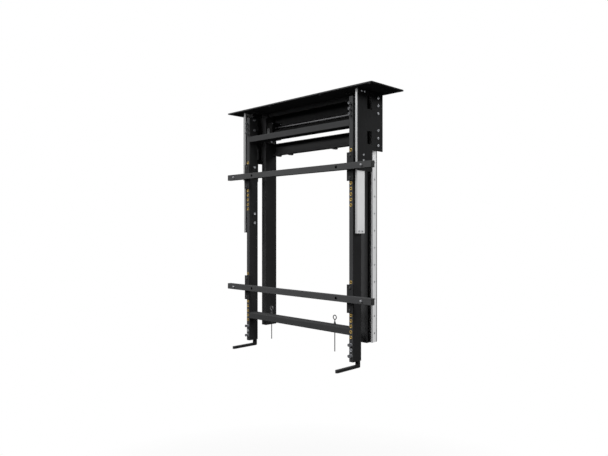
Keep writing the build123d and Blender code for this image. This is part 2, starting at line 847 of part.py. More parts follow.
def upright():
    """Tall tube that carries the crossbars, open at its lower end for the foot."""
    middle_y = (upright_front_y + upright_back_y) / 2
    middle_z = (upright_top_z + upright_bottom_z) / 2
    body = tube(upright_width, upright_depth, upright_length, upright_wall, upright_corner_radius)
    body = Pos(upright_middle_x, middle_y, middle_z) * body
    front = (upright_front_y - 1, upright_front_y + upright_wall + 1)
    for z in rivet_rows():
        body -= rod_y(upright_middle_x, front, z, rivet_body_radius)
    for z in front_bolt_rows()[0]:
        body -= rod_y(upright_middle_x, front, z, bolt_radius)
    for z in clamp_nut_rows():
        body -= rod_y(upright_middle_x, front, z, rivet_body_radius)
    through = (upright_inner_x - 1, upright_outer_x + 1)
    for drop in strut_bolt_drops:
        body -= rod_x(through, strut_bolt_y, plate_under_z - drop, bolt_radius + bolt_clearance)
    return body


def rivet_nut(z):
    """Blind nut with a flat flange on the upright's front face."""
    flange_y = (upright_front_y - rivet_flange_thickness, upright_front_y)
    body_y = (upright_front_y, upright_front_y + rivet_body_length)
    nut = rod_y(upright_middle_x, flange_y, z, rivet_flange_radius)
    nut += rod_y(upright_middle_x, body_y, z, rivet_body_radius)
    past = (flange_y[0] - 1, body_y[1] + 1)
    return nut - rod_y(upright_middle_x, past, z, rivet_bore_radius)


def front_bolt(z, reach, tip_y):
    """Hexagon bolt that stands out of the upright's front face."""
    seat_y = upright_front_y - reach
    bolt = rod_y(upright_middle_x, (seat_y, tip_y), z, bolt_radius)
    head_y = (seat_y - clamp_head_height, seat_y)
    return bolt + hex_y(upright_middle_x, head_y, z, clamp_head_flats)


def foot_post_span():
    """Front and back of the foot's post inside the upright."""
    back = upright_back_y - upright_wall - foot_gap
    return back - foot_post_depth, back


def top_bolts():
    tip_y = upright_front_y + top_bolt_depth
    return [front_bolt(z, top_bolt_reach, tip_y) for z in front_bolt_rows()[0]]


def clamp_bolts():
    tip_y = foot_post_span()[0] - foot_gap
    return [front_bolt(z, clamp_bolt_reach, tip_y) for z in front_bolt_rows()[1]]


def mount_plate(middle_z):
    """Small plate between the upright's rivet nuts and a crossbar."""
    x = (upright_middle_x - mount_plate_width / 2, upright_middle_x + mount_plate_width / 2)
    z = (middle_z + mount_plate_height / 2, middle_z - mount_plate_height / 2)
    plate = block(x, (crossbar_back_y, mount_plate_back_y), z)
    past = (crossbar_back_y - 1, mount_plate_back_y + 1)
    for side in (1, -1):
        bolt_z = middle_z + side * mount_bolt_step * rivet_pitch
        plate -= rod_y(upright_middle_x, past, bolt_z, bolt_radius + bolt_clearance)
    return plate


def mount_bolt(z):
    tip_y = crossbar_back_y + mount_bolt_length
    bolt = rod_y(upright_middle_x, (crossbar_back_y, tip_y), z, bolt_radius)
    head_y = (crossbar_back_y - button_head_height, crossbar_back_y)
    return bolt + rod_y(upright_middle_x, head_y, z, button_head_radius)


def crossbar(middle_z):
    """Rectangular tube with holes for displays of two widths."""
    length = 2 * (crossbar_end_x - cap_thickness)
    bar = cross_tube(crossbar_depth, crossbar_height, length, crossbar_wall, crossbar_corner_radius)
    bar = Pos(0, plate_front_y + crossbar_depth / 2, middle_z) * bar
    past = (plate_front_y - 1, crossbar_back_y + 1)
    for side in (-1, 1):
        bar -= rod_y(side * display_hole_width / 2, past, middle_z, stud_hole_radius)
        bar -= rod_y(side * display_inner_width / 2, past, middle_z, display_hole_radius)
    return bar


def crossbar_cap(middle_z):
    """Plastic cap with a plug that fits inside the crossbar's end."""
    seat_x = crossbar_end_x - cap_thickness
    z = (middle_z - crossbar_height / 2, middle_z + crossbar_height / 2)
    cap = block((seat_x, crossbar_end_x), (plate_front_y, crossbar_back_y), z)
    inset = crossbar_wall + cap_plug_gap
    plug_y = (plate_front_y + inset, crossbar_back_y - inset)
    return cap + block((seat_x - cap_plug_length, seat_x), plug_y, (z[0] + inset, z[1] - inset))


def display_stud(middle_z):
    """Bolt through the crossbar: a reduced shank inside it and a thread out to the display."""
    x = display_hole_width / 2
    thread_y = plate_front_y - stud_thread_gap
    stud = rod_y(x, (crossbar_back_y, thread_y), middle_z, stud_shank_radius)
    stud += rod_y(x, (thread_y, plate_front_y - stud_reach), middle_z, stud_radius)
    head_y = (crossbar_back_y, crossbar_back_y + stud_head_height)
    return stud + hex_y(x, head_y, middle_z, stud_head_flats)


def cross_beam(top):
    """Flat tube between the uprights, its front flush with theirs."""
    length = 2 * upright_inner_x
    beam = cross_tube(upright_depth, beam_height, length, beam_wall, upright_corner_radius)
    middle_y = (upright_front_y + upright_back_y) / 2
    return Pos(0, middle_y, top - beam_height / 2) * beam


def cable_lug():
    """Tapered ear with a hole, on top of the upper beam."""
    bottom = plate_under_z - upper_beam_drop
    top = bottom + lug_height
    corners = [
        (lug_x - lug_width / 2, bottom),
        (lug_x + lug_width / 2, bottom),
        (lug_x + lug_top_width / 2, top),
        (lug_x - lug_top_width / 2, top),
    ]
    front_y = upright_front_y + lug_setback
    outline = Plane.XZ.offset(-front_y) * Polygon(*corners, align=None)
    lug = extrude(outline, amount=lug_thickness, dir=(0, 1, 0))
    past = (front_y - 1, front_y + lug_thickness + 1)
    return lug - rod_y(lug_x, past, top - lug_height / 3, lug_hole_radius)


def lower_tube():
    """Cross beam low down, with holes for the eye bolts."""
    beam = cross_beam(lower_tube_top_z)
    past = (lower_tube_top_z + 1, lower_tube_top_z - beam_height - 1)
    for x in (-eye_bolt_x, eye_bolt_x):
        beam -= rod_z(x, eye_y, past, eye_rod_radius + eye_hole_gap)
    return beam


def eye_bolt():
    """Ring on a thin rod that hangs through the lower tube."""
    ring_z = lower_tube_top_z + eye_rise
    rod_top = ring_z - eye_ring_radius
    rod = rod_z(eye_bolt_x, eye_y, (rod_top, lower_tube_top_z - eye_rod_drop), eye_rod_radius)
    ring = Pos(eye_bolt_x, eye_y, ring_z) * Rot(90, 0, 0) * Torus(eye_ring_radius, eye_wire_radius)
    return rod + ring


def eye_nut(z):
    past = (z[0] + 1, z[1] - 1)
    return hex_z(eye_bolt_x, eye_y, z, eye_nut_flats) - rod_z(eye_bolt_x, eye_y, past, eye_rod_radius)


def eye_cone():
    """Tapered collar on the upper nut."""
    foot_z = lower_tube_top_z + eye_nut_height
    cone = Cone(eye_nut_flats / 2, eye_cone_top_radius, eye_cone_height)
    cone = Pos(eye_bolt_x, eye_y, foot_z + eye_cone_height / 2) * cone
    past = (foot_z - 1, foot_z + eye_cone_height + 1)
    return cone - rod_z(eye_bolt_x, eye_y, past, eye_rod_radius)


def eye_nuts():
    above = (lower_tube_top_z + eye_nut_height, lower_tube_top_z)
    tube_under = lower_tube_top_z - beam_height
    return [eye_nut(above) + eye_cone(), eye_nut((tube_under, tube_under - eye_nut_height))]


def hatch_foot():
    """L-shaped foot: a post inside the upright and an arm with a rounded tip."""
    half = upright_width / 2 - upright_wall - foot_gap
    x = (upright_middle_x - half, upright_middle_x + half)
    front, back = foot_post_span()
    bottom = upright_bottom_z - foot_post_reach
    arm_top = bottom + foot_arm_thickness
    post = block(x, (front, back), (upright_bottom_z + foot_post_top, bottom))
    tip_y = back - foot_arm_length + half
    arm = block(x, (tip_y, back), (arm_top, bottom))
    arm += rod_z(upright_middle_x, tip_y, (arm_top, bottom), half)
    foot = post + arm
    heel = foot.edges().filter_by(Axis.X).sort_by(Axis.Z)[:2].sort_by(Axis.Y)[-1]
    return fillet(heel, foot_heel_radius)


def build_frame():
    save("top_plate", ceiling_plate())
    save("header_angle", header_angle())
    save_group("plate_gussets", [plate_gusset()])
    save("rear_panel", rear_panel())
    save("rear_beam", rear_beam())
    steps = (first_bumper_step, second_bumper_step, third_bumper_step)
    save("beam_bumpers", *[beam_bumper(step) for step in steps])
    save_sides("column", column())
    save_sides("rail", rail())
    save_group("rail_races", rail_races())
    save_group("rail_screws", [rail_screw(z) for z in rail_screw_rows()])


def build_drive():
    save("sync_shaft", shaft())
    save_group("shaft_bearings", [shaft_bearing()])
    save_sides("drive_pulley", belt_wheel(shaft_z, shaft_radius + running_gap))
    save_sides("drive_belt", belt())
    save_sides("idler_pulley", belt_wheel(idler_z, idler_axle_radius + running_gap))
    save_group("idler_axles", [idler_axle()])
    save("shaft_gear", shaft_gear())
    save("motor_pinion", pinion())
    save("gearbox_housing", gearbox_housing())
    save("gearbox_cover", gearbox_cover())
    save("motor_tube", motor_tube())
    save("motor_end_bracket", motor_end_bracket())
    save("drive_bolts", housing_bolt(), *end_bolts())


def build_carriage():
    save_sides("side_plate", side_plate())
    save_sides("glide_blocks", Compound([glide_block(z).solid() for z in glide_middles()]))
    save_group("glide_bolts", [glide_bolt(z) for z in glide_bolt_rows()])
    save_sides("belt_clamp", belt_clamp())
    save_sides("strip", strip())
    save_group("strip_screws", strip_screws())
    save_group("strut_spacers", [spacer(drop) for drop in strut_bolt_drops])
    save_group("strut_bolts", [strut_bolt(drop) for drop in strut_bolt_drops])
    save_sides("upright", upright())
    save_group("rivet_nuts", [rivet_nut(z) for z in rivet_rows()])
    save_group("top_bolts", top_bolts())
    save_group("foot_clamp_bolts", clamp_bolts())
    save_group("clamp_nuts", [rivet_nut(z) for z in clamp_nut_rows()])
    save("upper_beam", cross_beam(plate_under_z - upper_beam_drop))
    save("cable_lug", cable_lug())
    save("lower_tube", lower_tube())


def build_display_mount():
    for name, z in (("upper", upper_crossbar_z), ("lower", lower_crossbar_z)):
        save_group(f"mount_plates_{name}", [mount_plate(z)])
        save(f"crossbar_{name}", crossbar(z))
    save_group("mount_bolts", [mount_bolt(z) for z in mount_bolt_rows()])
    bars = (upper_crossbar_z, lower_crossbar_z)
    save_group("crossbar_caps", [crossbar_cap(z) for z in bars])
    save_group("display_studs", [display_stud(z) for z in bars])


def build_lower_end():
    save_sides("eye_bolt", eye_bolt())
    save_group("eye_nuts", eye_nuts())
    save_sides("foot", hatch_foot())


os.makedirs("parts", exist_ok=True)
build_frame()
build_drive()
build_carriage()
build_display_mount()
build_lower_end()
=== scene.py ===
# Ceiling lift for a flat display: finishes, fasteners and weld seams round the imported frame.
# Shapes are drawn in millimetres and added in metres, looks and stage are in metres.
# X runs along the ceiling plate, -Y points to the display, Z is up.
import json
import math
import bmesh
import bpy
import numpy as np
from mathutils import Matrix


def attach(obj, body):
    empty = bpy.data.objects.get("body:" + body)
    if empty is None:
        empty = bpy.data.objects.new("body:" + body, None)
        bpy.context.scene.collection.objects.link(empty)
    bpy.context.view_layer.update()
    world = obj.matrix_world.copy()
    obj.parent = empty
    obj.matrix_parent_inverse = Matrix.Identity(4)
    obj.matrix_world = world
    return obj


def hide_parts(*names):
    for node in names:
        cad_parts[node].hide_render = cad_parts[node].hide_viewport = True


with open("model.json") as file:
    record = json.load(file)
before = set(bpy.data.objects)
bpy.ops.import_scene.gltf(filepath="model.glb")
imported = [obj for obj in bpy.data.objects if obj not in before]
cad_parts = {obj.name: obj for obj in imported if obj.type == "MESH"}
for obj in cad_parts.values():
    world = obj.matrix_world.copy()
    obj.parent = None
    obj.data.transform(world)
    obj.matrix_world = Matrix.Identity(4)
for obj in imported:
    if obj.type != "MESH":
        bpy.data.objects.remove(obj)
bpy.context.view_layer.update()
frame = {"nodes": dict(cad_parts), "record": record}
nodes = frame["nodes"]
mm = 0.001
twoPi = 2 * math.pi
print("frame loaded:", len(nodes), "nodes")


def newObject(name, data):
    made = bpy.data.objects.new(name, data)
    bpy.context.scene.collection.objects.link(made)
    return made


# Camera, where the photograph was taken from

cameraSettings = {
    "place": (1.371, -1.391, -0.427),
    "yaw": 44.94,            # degrees, turned left of +Y
    "focalPixels": 575.3,
    "framePixels": (608, 456),
    "horizonPixel": 228.7,   # height of the eye level in the frame
    "sensor": 36.0,
}


def addCamera(s):
    data = bpy.data.cameras.new("camera")
    data.sensor_width = s["sensor"]
    data.sensor_fit = "HORIZONTAL"
    width, height = s["framePixels"]
    data.lens = s["focalPixels"] / width * s["sensor"]
    data.shift_y = (s["horizonPixel"] - height / 2) / width
    data.clip_end = 50
    camera = newObject("camera", data)
    camera.location = s["place"]
    camera.rotation_euler = (math.pi / 2, 0, math.radians(s["yaw"]))
    bpy.context.scene.camera = camera


addCamera(cameraSettings)


# Shader expressions: a socket that takes part in sums, and one method for any other node

class Socket:
    def __init__(self, tree, out):
        self.tree = tree
        self.out = out

    def node(self, kind, sockets=None, output=0, **settings):
        made = self.tree.nodes.new(kind)
        for name, value in settings.items():
            setattr(made, name, value)
        for name, value in (sockets or {}).items():
            if isinstance(value, Socket):
                self.tree.links.new(value.out, made.inputs[name])
            else:
                made.inputs[name].default_value = value
        return Socket(self.tree, made.outputs[output])

    def math(self, operation, first, second=0.0, clamp=False):
        sockets = {0: first, 1: second}
        return self.node("ShaderNodeMath", sockets, operation=operation, use_clamp=clamp)

    def __add__(self, other):
        return self.math("ADD", self, other)

    def __sub__(self, other):
        return self.math("SUBTRACT", self, other)

    def __rsub__(self, other):
        return self.math("SUBTRACT", other, self)

    def __mul__(self, other):
        return self.math("MULTIPLY", self, other)

    __radd__ = __add__
    __rmul__ = __mul__

    def clamped(self):
        return self.math("ADD", self, 0.0, clamp=True)

    def above(self, edge, softness):
        # 0 before the edge, 1 past edge + softness, a ramp between; a negative softness turns it
        return ((self - edge) * (1 / softness)).clamped()

    def along(self, axis):
        return self.node("ShaderNodeSeparateXYZ", {"Vector": self}, output=axis)

    def mixed(self, low, high):
        # the colour low where this is 0 and high where it is 1
        sockets = {0: self, 6: low, 7: high}
        return self.node("ShaderNodeMix", sockets, output=2, data_type="RGBA")


def noise(place, scale, detail=3.0, roughness=0.5, distortion=0.0):
    sockets = {"Vector": place, "Scale": scale, "Detail": detail, "Roughness": roughness,
               "Distortion": distortion}
    return place.node("ShaderNodeTexNoise", sockets)


def stretched(place, scale):
    # each axis scaled by itself, for brushed and drawn finishes
    return place.node("ShaderNodeMapping", {"Vector": place, "Scale": scale})


def grey(value, tint=(1.0, 1.0, 1.0)):
    return tuple(value * part for part in tint) + (1.0,)


def nodesOf(owner):
    owner.use_nodes = True
    return owner.node_tree


def objectPlace(tree):
    return Socket(tree, tree.nodes.new("ShaderNodeTexCoord").outputs["Object"])


def newMaterial(name, **fixed):
    # a Principled material, with its place on the object and its shader
    material = bpy.data.materials.new(name)
    tree = nodesOf(material)
    shader = tree.nodes["Principled BSDF"]
    for socket, value in fixed.items():
        shader.inputs[socket.replace("_", " ")].default_value = value
    return material, objectPlace(tree), shader


def wire(place, shader, **values):
    for name, value in values.items():
        place.tree.links.new(value.out, shader.inputs[name.replace("_", " ")])


def softEdges(place, radius):
    # normals that round off sharp edges by about a radius
    return place.node("ShaderNodeBevel", {"Radius": radius}, samples=6)


def edgeMask(place, radius):
    # 1 close to a sharp edge, 0 on the flats: how far the rounded normal leans from the true one
    flat = place.node("ShaderNodeNewGeometry", output=1)
    lean = place.node("ShaderNodeVectorMath", {0: softEdges(place, radius), 1: flat},
                      output=1, operation="DOT_PRODUCT")
    return (1.0 - lean).above(0.02, 0.22)


def bumped(place, height, strength, distance, radius=0.0):
    sockets = {"Height": height, "Strength": strength, "Distance": distance}
    if radius:
        sockets["Normal"] = softEdges(place, radius)
    return place.node("ShaderNodeBump", sockets)


# Finishes

powderSettings = {
    "colour": 0.058,
    "paler": 0.074,
    "tint": (0.99, 1.0, 1.02),
    "grainScale": 900,       # orange peel of the coat, bumps of about a millimetre
    "grainHeight": 0.00012,
    "dustScale": 14,
    "roughness": 0.55,
    "bump": 0.35,
    "edgeRadius": 0.0007,
    "edgeWearAndHighlight": 0.125,       # colour of an edge: rubbed wear and painted highlight
}


def powderCoat(name, s, lift=1.0):
    # black powder coat: fine orange peel, slow changes of depth, edges paler as rubbed wear and
    # painted highlight
    material, place, shader = newMaterial(name, Specular_IOR_Level=0.0)
    grain = noise(place, s["grainScale"], detail=2.0, roughness=0.6)
    peel = noise(place, s["grainScale"] / 4, detail=1.0)
    cloud = noise(place, s["dustScale"], detail=4.0, roughness=0.65)
    depth = (cloud * 0.6 + grain * 0.4).above(0.3, 0.4)
    # a lift other than 1 paints light or shade into the whole coat
    coat = depth.mixed(grey(s["colour"] * lift, s["tint"]), grey(s["paler"] * lift, s["tint"]))
    # painted highlight and wear: paler where the rounded normal leans off the flat, in patches
    rubbedAndLitEdge = edgeMask(place, s["edgeRadius"]) * cloud.above(0.35, 0.3)
    colour = rubbedAndLitEdge.mixed(coat, grey(s["edgeWearAndHighlight"] * lift, s["tint"]))
    wire(place, shader,
         Base_Color=colour,
         Roughness=s["roughness"] + (cloud - 0.5) * 0.14 + (grain - 0.5) * 0.12,
         Normal=bumped(place, grain * 0.5 + peel, s["bump"], s["grainHeight"], s["edgeRadius"]))
    return material


aluminiumSettings = {
    "colour": 0.63,
    "worn": 0.51,
    "tint": (0.99, 0.995, 1.0),
    "grain": (2600, 2600, 9),    # drawn along Z
    "grainHeight": 0.00006,
    "cloudScale": 9,
    "frontPaintedShade": 0.31,           # the strips' front edges painted darker, painted shade
    "frontShadeFrom": -0.0587,        # Y just behind those edges
    "frontShadeFade": -0.0002,
    "roughness": 0.46,
    "bump": 0.25,
    "edgeRadius": 0.0005,
}


def drawnAluminium(name, s):
    # natural anodised bar: fine lines along its length, faint clouds, a front edge painted darker
    # as painted shade
    material, place, shader = newMaterial(name, Metallic=1.0)
    lines = noise(stretched(place, s["grain"]), 1.0, detail=3.0, roughness=0.7)
    cloud = noise(place, s["cloudScale"], detail=4.0)
    mixValue = (lines * 0.55 + cloud * 0.45).above(0.25, 0.5)
    colour = mixValue.mixed(grey(s["worn"], s["tint"]), grey(s["colour"], s["tint"]))
    # painted shade: darker in front of Y -58.7 mm, on the strips' front edges
    front = place.along("Y").above(s["frontShadeFrom"], s["frontShadeFade"])
    wire(place, shader,
         Base_Color=front.mixed(colour, grey(s["frontPaintedShade"], s["tint"])),
         Roughness=s["roughness"] + (lines - 0.5) * 0.22 + (cloud - 0.5) * 0.08,
         Normal=bumped(place, lines, s["bump"], s["grainHeight"], s["edgeRadius"]))
    return material


metalSurface = {             # what all plain metals share, unless their own settings say otherwise
    "spots": 420,
    "bump": 0.15,
    "bumpHeight": 0.00003,
    "edgeRadius": 0.0002,
    "paintedShadeColour": 0.025,
}
metalSettings = {
    "zinc": {"colour": (0.24, 0.245, 0.26), "paler": (0.34, 0.35, 0.36), "roughness": 0.42},
    "dark": {"colour": (0.065, 0.067, 0.072), "paler": (0.13, 0.132, 0.14), "roughness": 0.46},
    "deep": {"colour": (0.035, 0.036, 0.038), "paler": (0.085, 0.086, 0.090), "roughness": 0.40},
    # brass: painted shade in each nut's bore and body, from about Y -60.5 mm back inside the
    # upright
    "brass": {"colour": (0.33, 0.22, 0.065), "paler": (0.46, 0.33, 0.11), "roughness": 0.42,
              "spots": 380, "paintedShade": ("Y", -0.0608, 0.0006)},
    "bush": {"colour": (0.26, 0.18, 0.07), "paler": (0.38, 0.29, 0.13), "roughness": 0.40,
             "spots": 380},
    "shaft": {"colour": (0.14, 0.14, 0.145), "paler": (0.21, 0.21, 0.215), "roughness": 0.26,
              "spots": 260},
    "race": {"colour": (0.10, 0.10, 0.105), "paler": (0.17, 0.17, 0.175), "roughness": 0.34,
             "spots": 300},
    # eye: painted shade on the rod from just under the neck down, where it runs into and under the
    # lower tube
    "eye": {"colour": (0.07, 0.07, 0.075), "paler": (0.12, 0.12, 0.12), "roughness": 0.40,
            "spots": 500, "paintedShade": ("Z", -0.7175, -0.004)},
    "screw": {"colour": (0.42, 0.42, 0.43), "paler": (0.53, 0.53, 0.54), "roughness": 0.44},
    "stud": {"colour": (0.16, 0.162, 0.17), "paler": (0.25, 0.25, 0.26), "roughness": 0.42},
}


def plainMetal(name, s):
    # plated or turned metal with small spots and handling marks; painted shade darkens it past a
    # place along one axis
    s = dict(metalSurface, **s)
    material, place, shader = newMaterial(name, Metallic=1.0)
    spots = noise(place, s["spots"], detail=4.0, roughness=0.65)
    marks = noise(place, s["spots"] / 6, detail=3.0, distortion=0.8)
    mixValue = (spots * 0.6 + marks * 0.4).above(0.25, 0.5)
    colour = mixValue.mixed(s["colour"] + (1.0,), s["paler"] + (1.0,))
    # painted shade: darker past a place along one axis
    if "paintedShade" in s:
        axis, start, reach = s["paintedShade"]
        paintedShade = place.along(axis).above(start, reach)
        colour = paintedShade.mixed(colour, grey(s["paintedShadeColour"]))
    wire(place, shader,
         Base_Color=colour,
         Roughness=s["roughness"] + (marks - 0.5) * 0.3,
         Normal=bumped(place, spots, s["bump"], s["bumpHeight"], s["edgeRadius"]))
    return material


plasticSurface = {
    "specular": 0.1,
    "cloudScale": 30,
    "bump": 0.25,
    "bumpHeight": 0.00005,
    "edgeRadius": 0.0004,
}
plasticSettings = {
    "black": {"colour": 0.030, "paler": 0.042, "roughness": 0.48, "grain": 1400,
              "specular": 0.15},
    # glide: coloured near black, painted shade that keeps the side plates' slots dark
    "glide": {"colour": 0.018, "paler": 0.026, "roughness": 0.42, "grain": 700, "specular": 0.3},
    "rubber": {"colour": 0.020, "paler": 0.030, "roughness": 0.70, "grain": 1800},
    "oxide": {"colour": 0.030, "paler": 0.052, "roughness": 0.38, "grain": 600, "specular": 0.3},
    # enamel: the motor's own black, darkened further as painted shade of the recess under the
    # plate
    "enamel": {"colour": 0.009, "paler": 0.014, "roughness": 0.42, "grain": 300},
}


def plainPlastic(name, s):
    # moulded, blackened or enamelled surface with a fine grain
    s = dict(plasticSurface, **s)
    material, place, shader = newMaterial(name, Specular_IOR_Level=s["specular"])
    grain = noise(place, s["grain"], detail=2.0)
    cloud = noise(place, s["cloudScale"], detail=3.0)
    wire(place, shader,
         Base_Color=cloud.above(0.3, 0.4).mixed(grey(s["colour"]), grey(s["paler"])),
         Roughness=s["roughness"] + (cloud - 0.5) * 0.12,
         Normal=bumped(place, grain, s["bump"], s["bumpHeight"], s["edgeRadius"]))
    return material


finishes = {
    "powder_coat": powderCoat("powderCoat", powderSettings),
    "silver_aluminium": drawnAluminium("drawnAluminium", aluminiumSettings),
    "zinc_steel": plainMetal("zincSteel", metalSettings["zinc"]),
    "bright_steel": plainMetal("groundSteel", metalSettings["shaft"]),
    "brass": plainMetal("brass", metalSettings["brass"]),
    "black_plastic": plainPlastic("blackPlastic", plasticSettings["black"]),
    "glide_polymer": plainPlastic("glidePolymerPaintedShade", plasticSettings["glide"]),
    "belt_rubber": plainPlastic("beltRubber", plasticSettings["rubber"]),
    "black_oxide": plainPlastic("blackOxide", plasticSettings["oxide"]),
    "motor_paint": plainPlastic("motorEnamelAndShade", plasticSettings["enamel"]),
}
slotOf = {part["node"]: part["material_slot"] for part in frame["record"]["subparts"]}
litAndShadedCoats = {                    # coats painted darker or paler than the frame's: painted light on the crossbars, painted shade on plates and beams
    "plateCoatPaintedShade": (0.55, ["mount_plates_upper", "mount_plates_lower"]),
    "barCoatPaintedLight": (1.16, ["crossbar_upper", "crossbar_lower"]),
    "beamCoatPaintedShade": (0.87, ["upper_beam", "lower_tube", "rear_beam"]),
}


def dressNodes(s):
    # every node takes its slot's finish, apart from those with one of their own
    own = {"rail_races": plainMetal("raceSteel", metalSettings["race"])}
    own.update(dict.fromkeys(["gearbox_housing", "gearbox_cover"], finishes["motor_paint"]))
    # painted light and shade: lit and shaded copies of the powder coat
    for coatName, (lift, coated) in s.items():
        own.update(dict.fromkeys(coated, powderCoat(coatName, powderSettings, lift)))
    for name, obj in nodes.items():
        obj.data.materials.clear()
        obj.data.materials.append(own.get(name, finishes[slotOf[name]]))


dressNodes(litAndShadedCoats)
print("finishes on", len(nodes), "nodes")


# Surfaces: rows of points round an axis or along a path, in millimetres until they are added

directions = {               # where a shape's own x, y and z axes go on the object
    "up": ((1, 0, 0), (0, 1, 0), (0, 0, 1)),
    "down": ((1, 0, 0), (0, -1, 0), (0, 0, -1)),
    "front": ((1, 0, 0), (0, 0, 1), (0, -1, 0)),
    "right": ((0, 1, 0), (0, 0, 1), (1, 0, 0)),
    "left": ((0, -1, 0), (0, 0, 1), (-1, 0, 0)),
}


def turnOf(columns):
    return np.arange(columns) * (twoPi / columns)


def at(x, y, z):
    # points from numbers and arrays of numbers, each number held for the whole row
    return np.stack(np.broadcast_arrays(x, y, z), axis=-1)


def rings(a, radii, heights):
    # one row of points round the axis for each radius and height; both may vary with the angle
    radius, height = (np.reshape(each, (len(heights), -1)) for each in (radii, heights))
    return at(radius * np.cos(a), radius * np.sin(a), height)


def turned(a, profile):
    # a profile of (radius, height) pairs carried round the axis
    radii, heights = np.transpose(profile)
    return rings(a, radii, heights)


def hexReach(a, flats):
    # distance from the axis to the side of a hexagon at each angle
    return flats / 2 / np.cos((a + math.pi / 6) % (math.pi / 3) - math.pi / 6)


def threadRings(a, radius, depth, pitch, top, bottom, samples=5):
    # the radius dips by depth once per pitch, and one turn of the angle shifts it by one pitch
    count = max(2, int(abs(top - bottom) / pitch * samples) + 1)
    heights = np.linspace(top, bottom, count)
    phase = (heights[:, None] / pitch + a[None] / twoPi) % 1
    return rings(a, radius - depth * (1 - np.abs(2 * phase - 1)), heights)


def quadsOf(rows, columns, closed):
    # quads between neighbouring rows; columns always close, rows only on a closed loop
    row, column = np.meshgrid(np.arange(rows if closed else rows - 1), np.arange(columns),
                              indexing="ij")
    after = (row + 1) % rows
    beside = (column + 1) % columns
    corners = [row * columns + column, row * columns + beside,
               after * columns + beside, after * columns + column]
    return np.stack(corners, axis=-1).reshape(-1, 4)


def swept(path, across, up, profile):
    # a flat profile carried along a path: its first number lies across it, its second up from it
    path = np.asarray(path, dtype=float)[:, None]
    wide, high = np.moveaxis(np.reshape(profile, (-1, np.shape(profile)[-2], 2)), -1, 0)
    return (path + wide[..., None] * np.reshape(across, (-1, 1, 3))
            + high[..., None] * np.reshape(up, (-1, 1, 3)))


def bandSection(half, low, high):
    # a flat band's four corners at each step: half its width to either side, low to high above
    across = np.stack([-half, half, half, -half], axis=-1)
    return np.stack([across, np.stack([low, low, high, high], axis=-1)], axis=-1)


def capped(grid):
    # both ends closed on their middles
    first, last = (np.repeat(grid[end].mean(axis=0)[None], grid.shape[1], axis=0)[None]
                   for end in (0, -1))
    return np.concatenate([first, grid, last])


def roundedOutline(xLow, xHigh, yLow, yHigh, radius, height, steps=4):
    # one row at a height: a rectangle whose corners are quarter turns of a circle
    turn = np.linspace(0, math.pi / 2, steps) + np.arange(4)[:, None] * (math.pi / 2)
    x = np.array([xHigh - radius, xLow + radius, xLow + radius, xHigh - radius])[:, None]
    y = np.array([yHigh - radius, yHigh - radius, yLow + radius, yLow + radius])[:, None]
    return at(x + radius * np.cos(turn), y + radius * np.sin(turn), height).reshape(-1, 3)


def stamped(grid, way, places, closed=False):
    # one shape, turned to a side of the object and set at each place
    grid = np.asarray(grid, dtype=float)
    quads = quadsOf(grid.shape[0], grid.shape[1], closed)
    points = grid.reshape(-1, 3) @ np.array(directions[way], dtype=float)
    places = np.reshape(places, (-1, 3))
    starts = np.arange(len(places)) * len(points)
    return ((points[None] + places[:, None]).reshape(-1, 3),
            (quads[None] + starts[:, None, None]).reshape(-1, 4))


def onBothSides(grid, places, closed=False):
    # a shape that points away from the middle, at each place and its mirror place
    places = np.reshape(places, (-1, 3))
    return [stamped(grid, "right", places, closed),
            stamped(grid, "left", places * (-1, 1, 1), closed)]


def mirroredPlaces(places):
    places = np.reshape(places, (-1, 3))
    return np.concatenate([places, places * (-1, 1, 1)])


def mirroredShape(shape):
    points, quads = shape
    return points * (-1, 1, 1), quads[:, ::-1]


seamDistance = 2e-7          # metres, closer points of one mesh become one
bevelFrom = math.radians(40)


def nodeNamed(name):
    # rivetNuts takes the place of the node rivet_nuts
    return "".join("_" + letter.lower() if letter.isupper() else letter for letter in name)


def addPiece(name, body, slot, shapes, smooth=35, bevel=0.0, finish=None):
    # joins the shapes, closes seams and poles, turns faces outward and hands the piece over; it
    # replaces the node of its name, where there is one
    points = np.concatenate([part[0] for part in shapes])
    starts = np.cumsum([0] + [len(part[0]) for part in shapes[:-1]])
    quads = np.concatenate([part[1] + start for part, start in zip(shapes, starts)])
    mesh = bpy.data.meshes.new(name)
    mesh.from_pydata((points * mm).tolist(), [], quads.tolist())
    work = bmesh.new()
    work.from_mesh(mesh)
    bmesh.ops.remove_doubles(work, verts=work.verts, dist=seamDistance)
    bmesh.ops.recalc_face_normals(work, faces=work.faces)
    work.to_mesh(mesh)
    work.free()
    mesh.polygons.foreach_set("use_smooth", np.ones(len(mesh.polygons), dtype=bool))
    mesh.set_sharp_from_angle(angle=math.radians(smooth))
    mesh.materials.append(finish or finishes[slot])
    piece = newObject(name, mesh)
    if bevel:
        edge = piece.modifiers.new("edges", "BEVEL")
        edge.width = bevel * mm
        edge.segments = 2
        edge.limit_method = "ANGLE"
        edge.angle_limit = bevelFrom
        edge.harden_normals = True
    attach(piece, body)
    if nodeNamed(name) in nodes:
        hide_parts(nodeNamed(name))


# Shared places, millimetres

uprightX = 243.25
uprightFront = -60.0
rivetPitch = 50 / 3
crossbarHeights = np.array([-239.0, -639.0])
clampHeights = [-777.6, -794.3, -811.1]
strutHeights = [-34.0, -69.5, -204.0, -238.5, -373.0, -406.0]
strutY = -37.0
rimShare = 0.94              # how far the flat face of a nut or head reaches toward its sides


# Rivet nuts: brass rows for the display's height, zinc ones for the feet's bolts

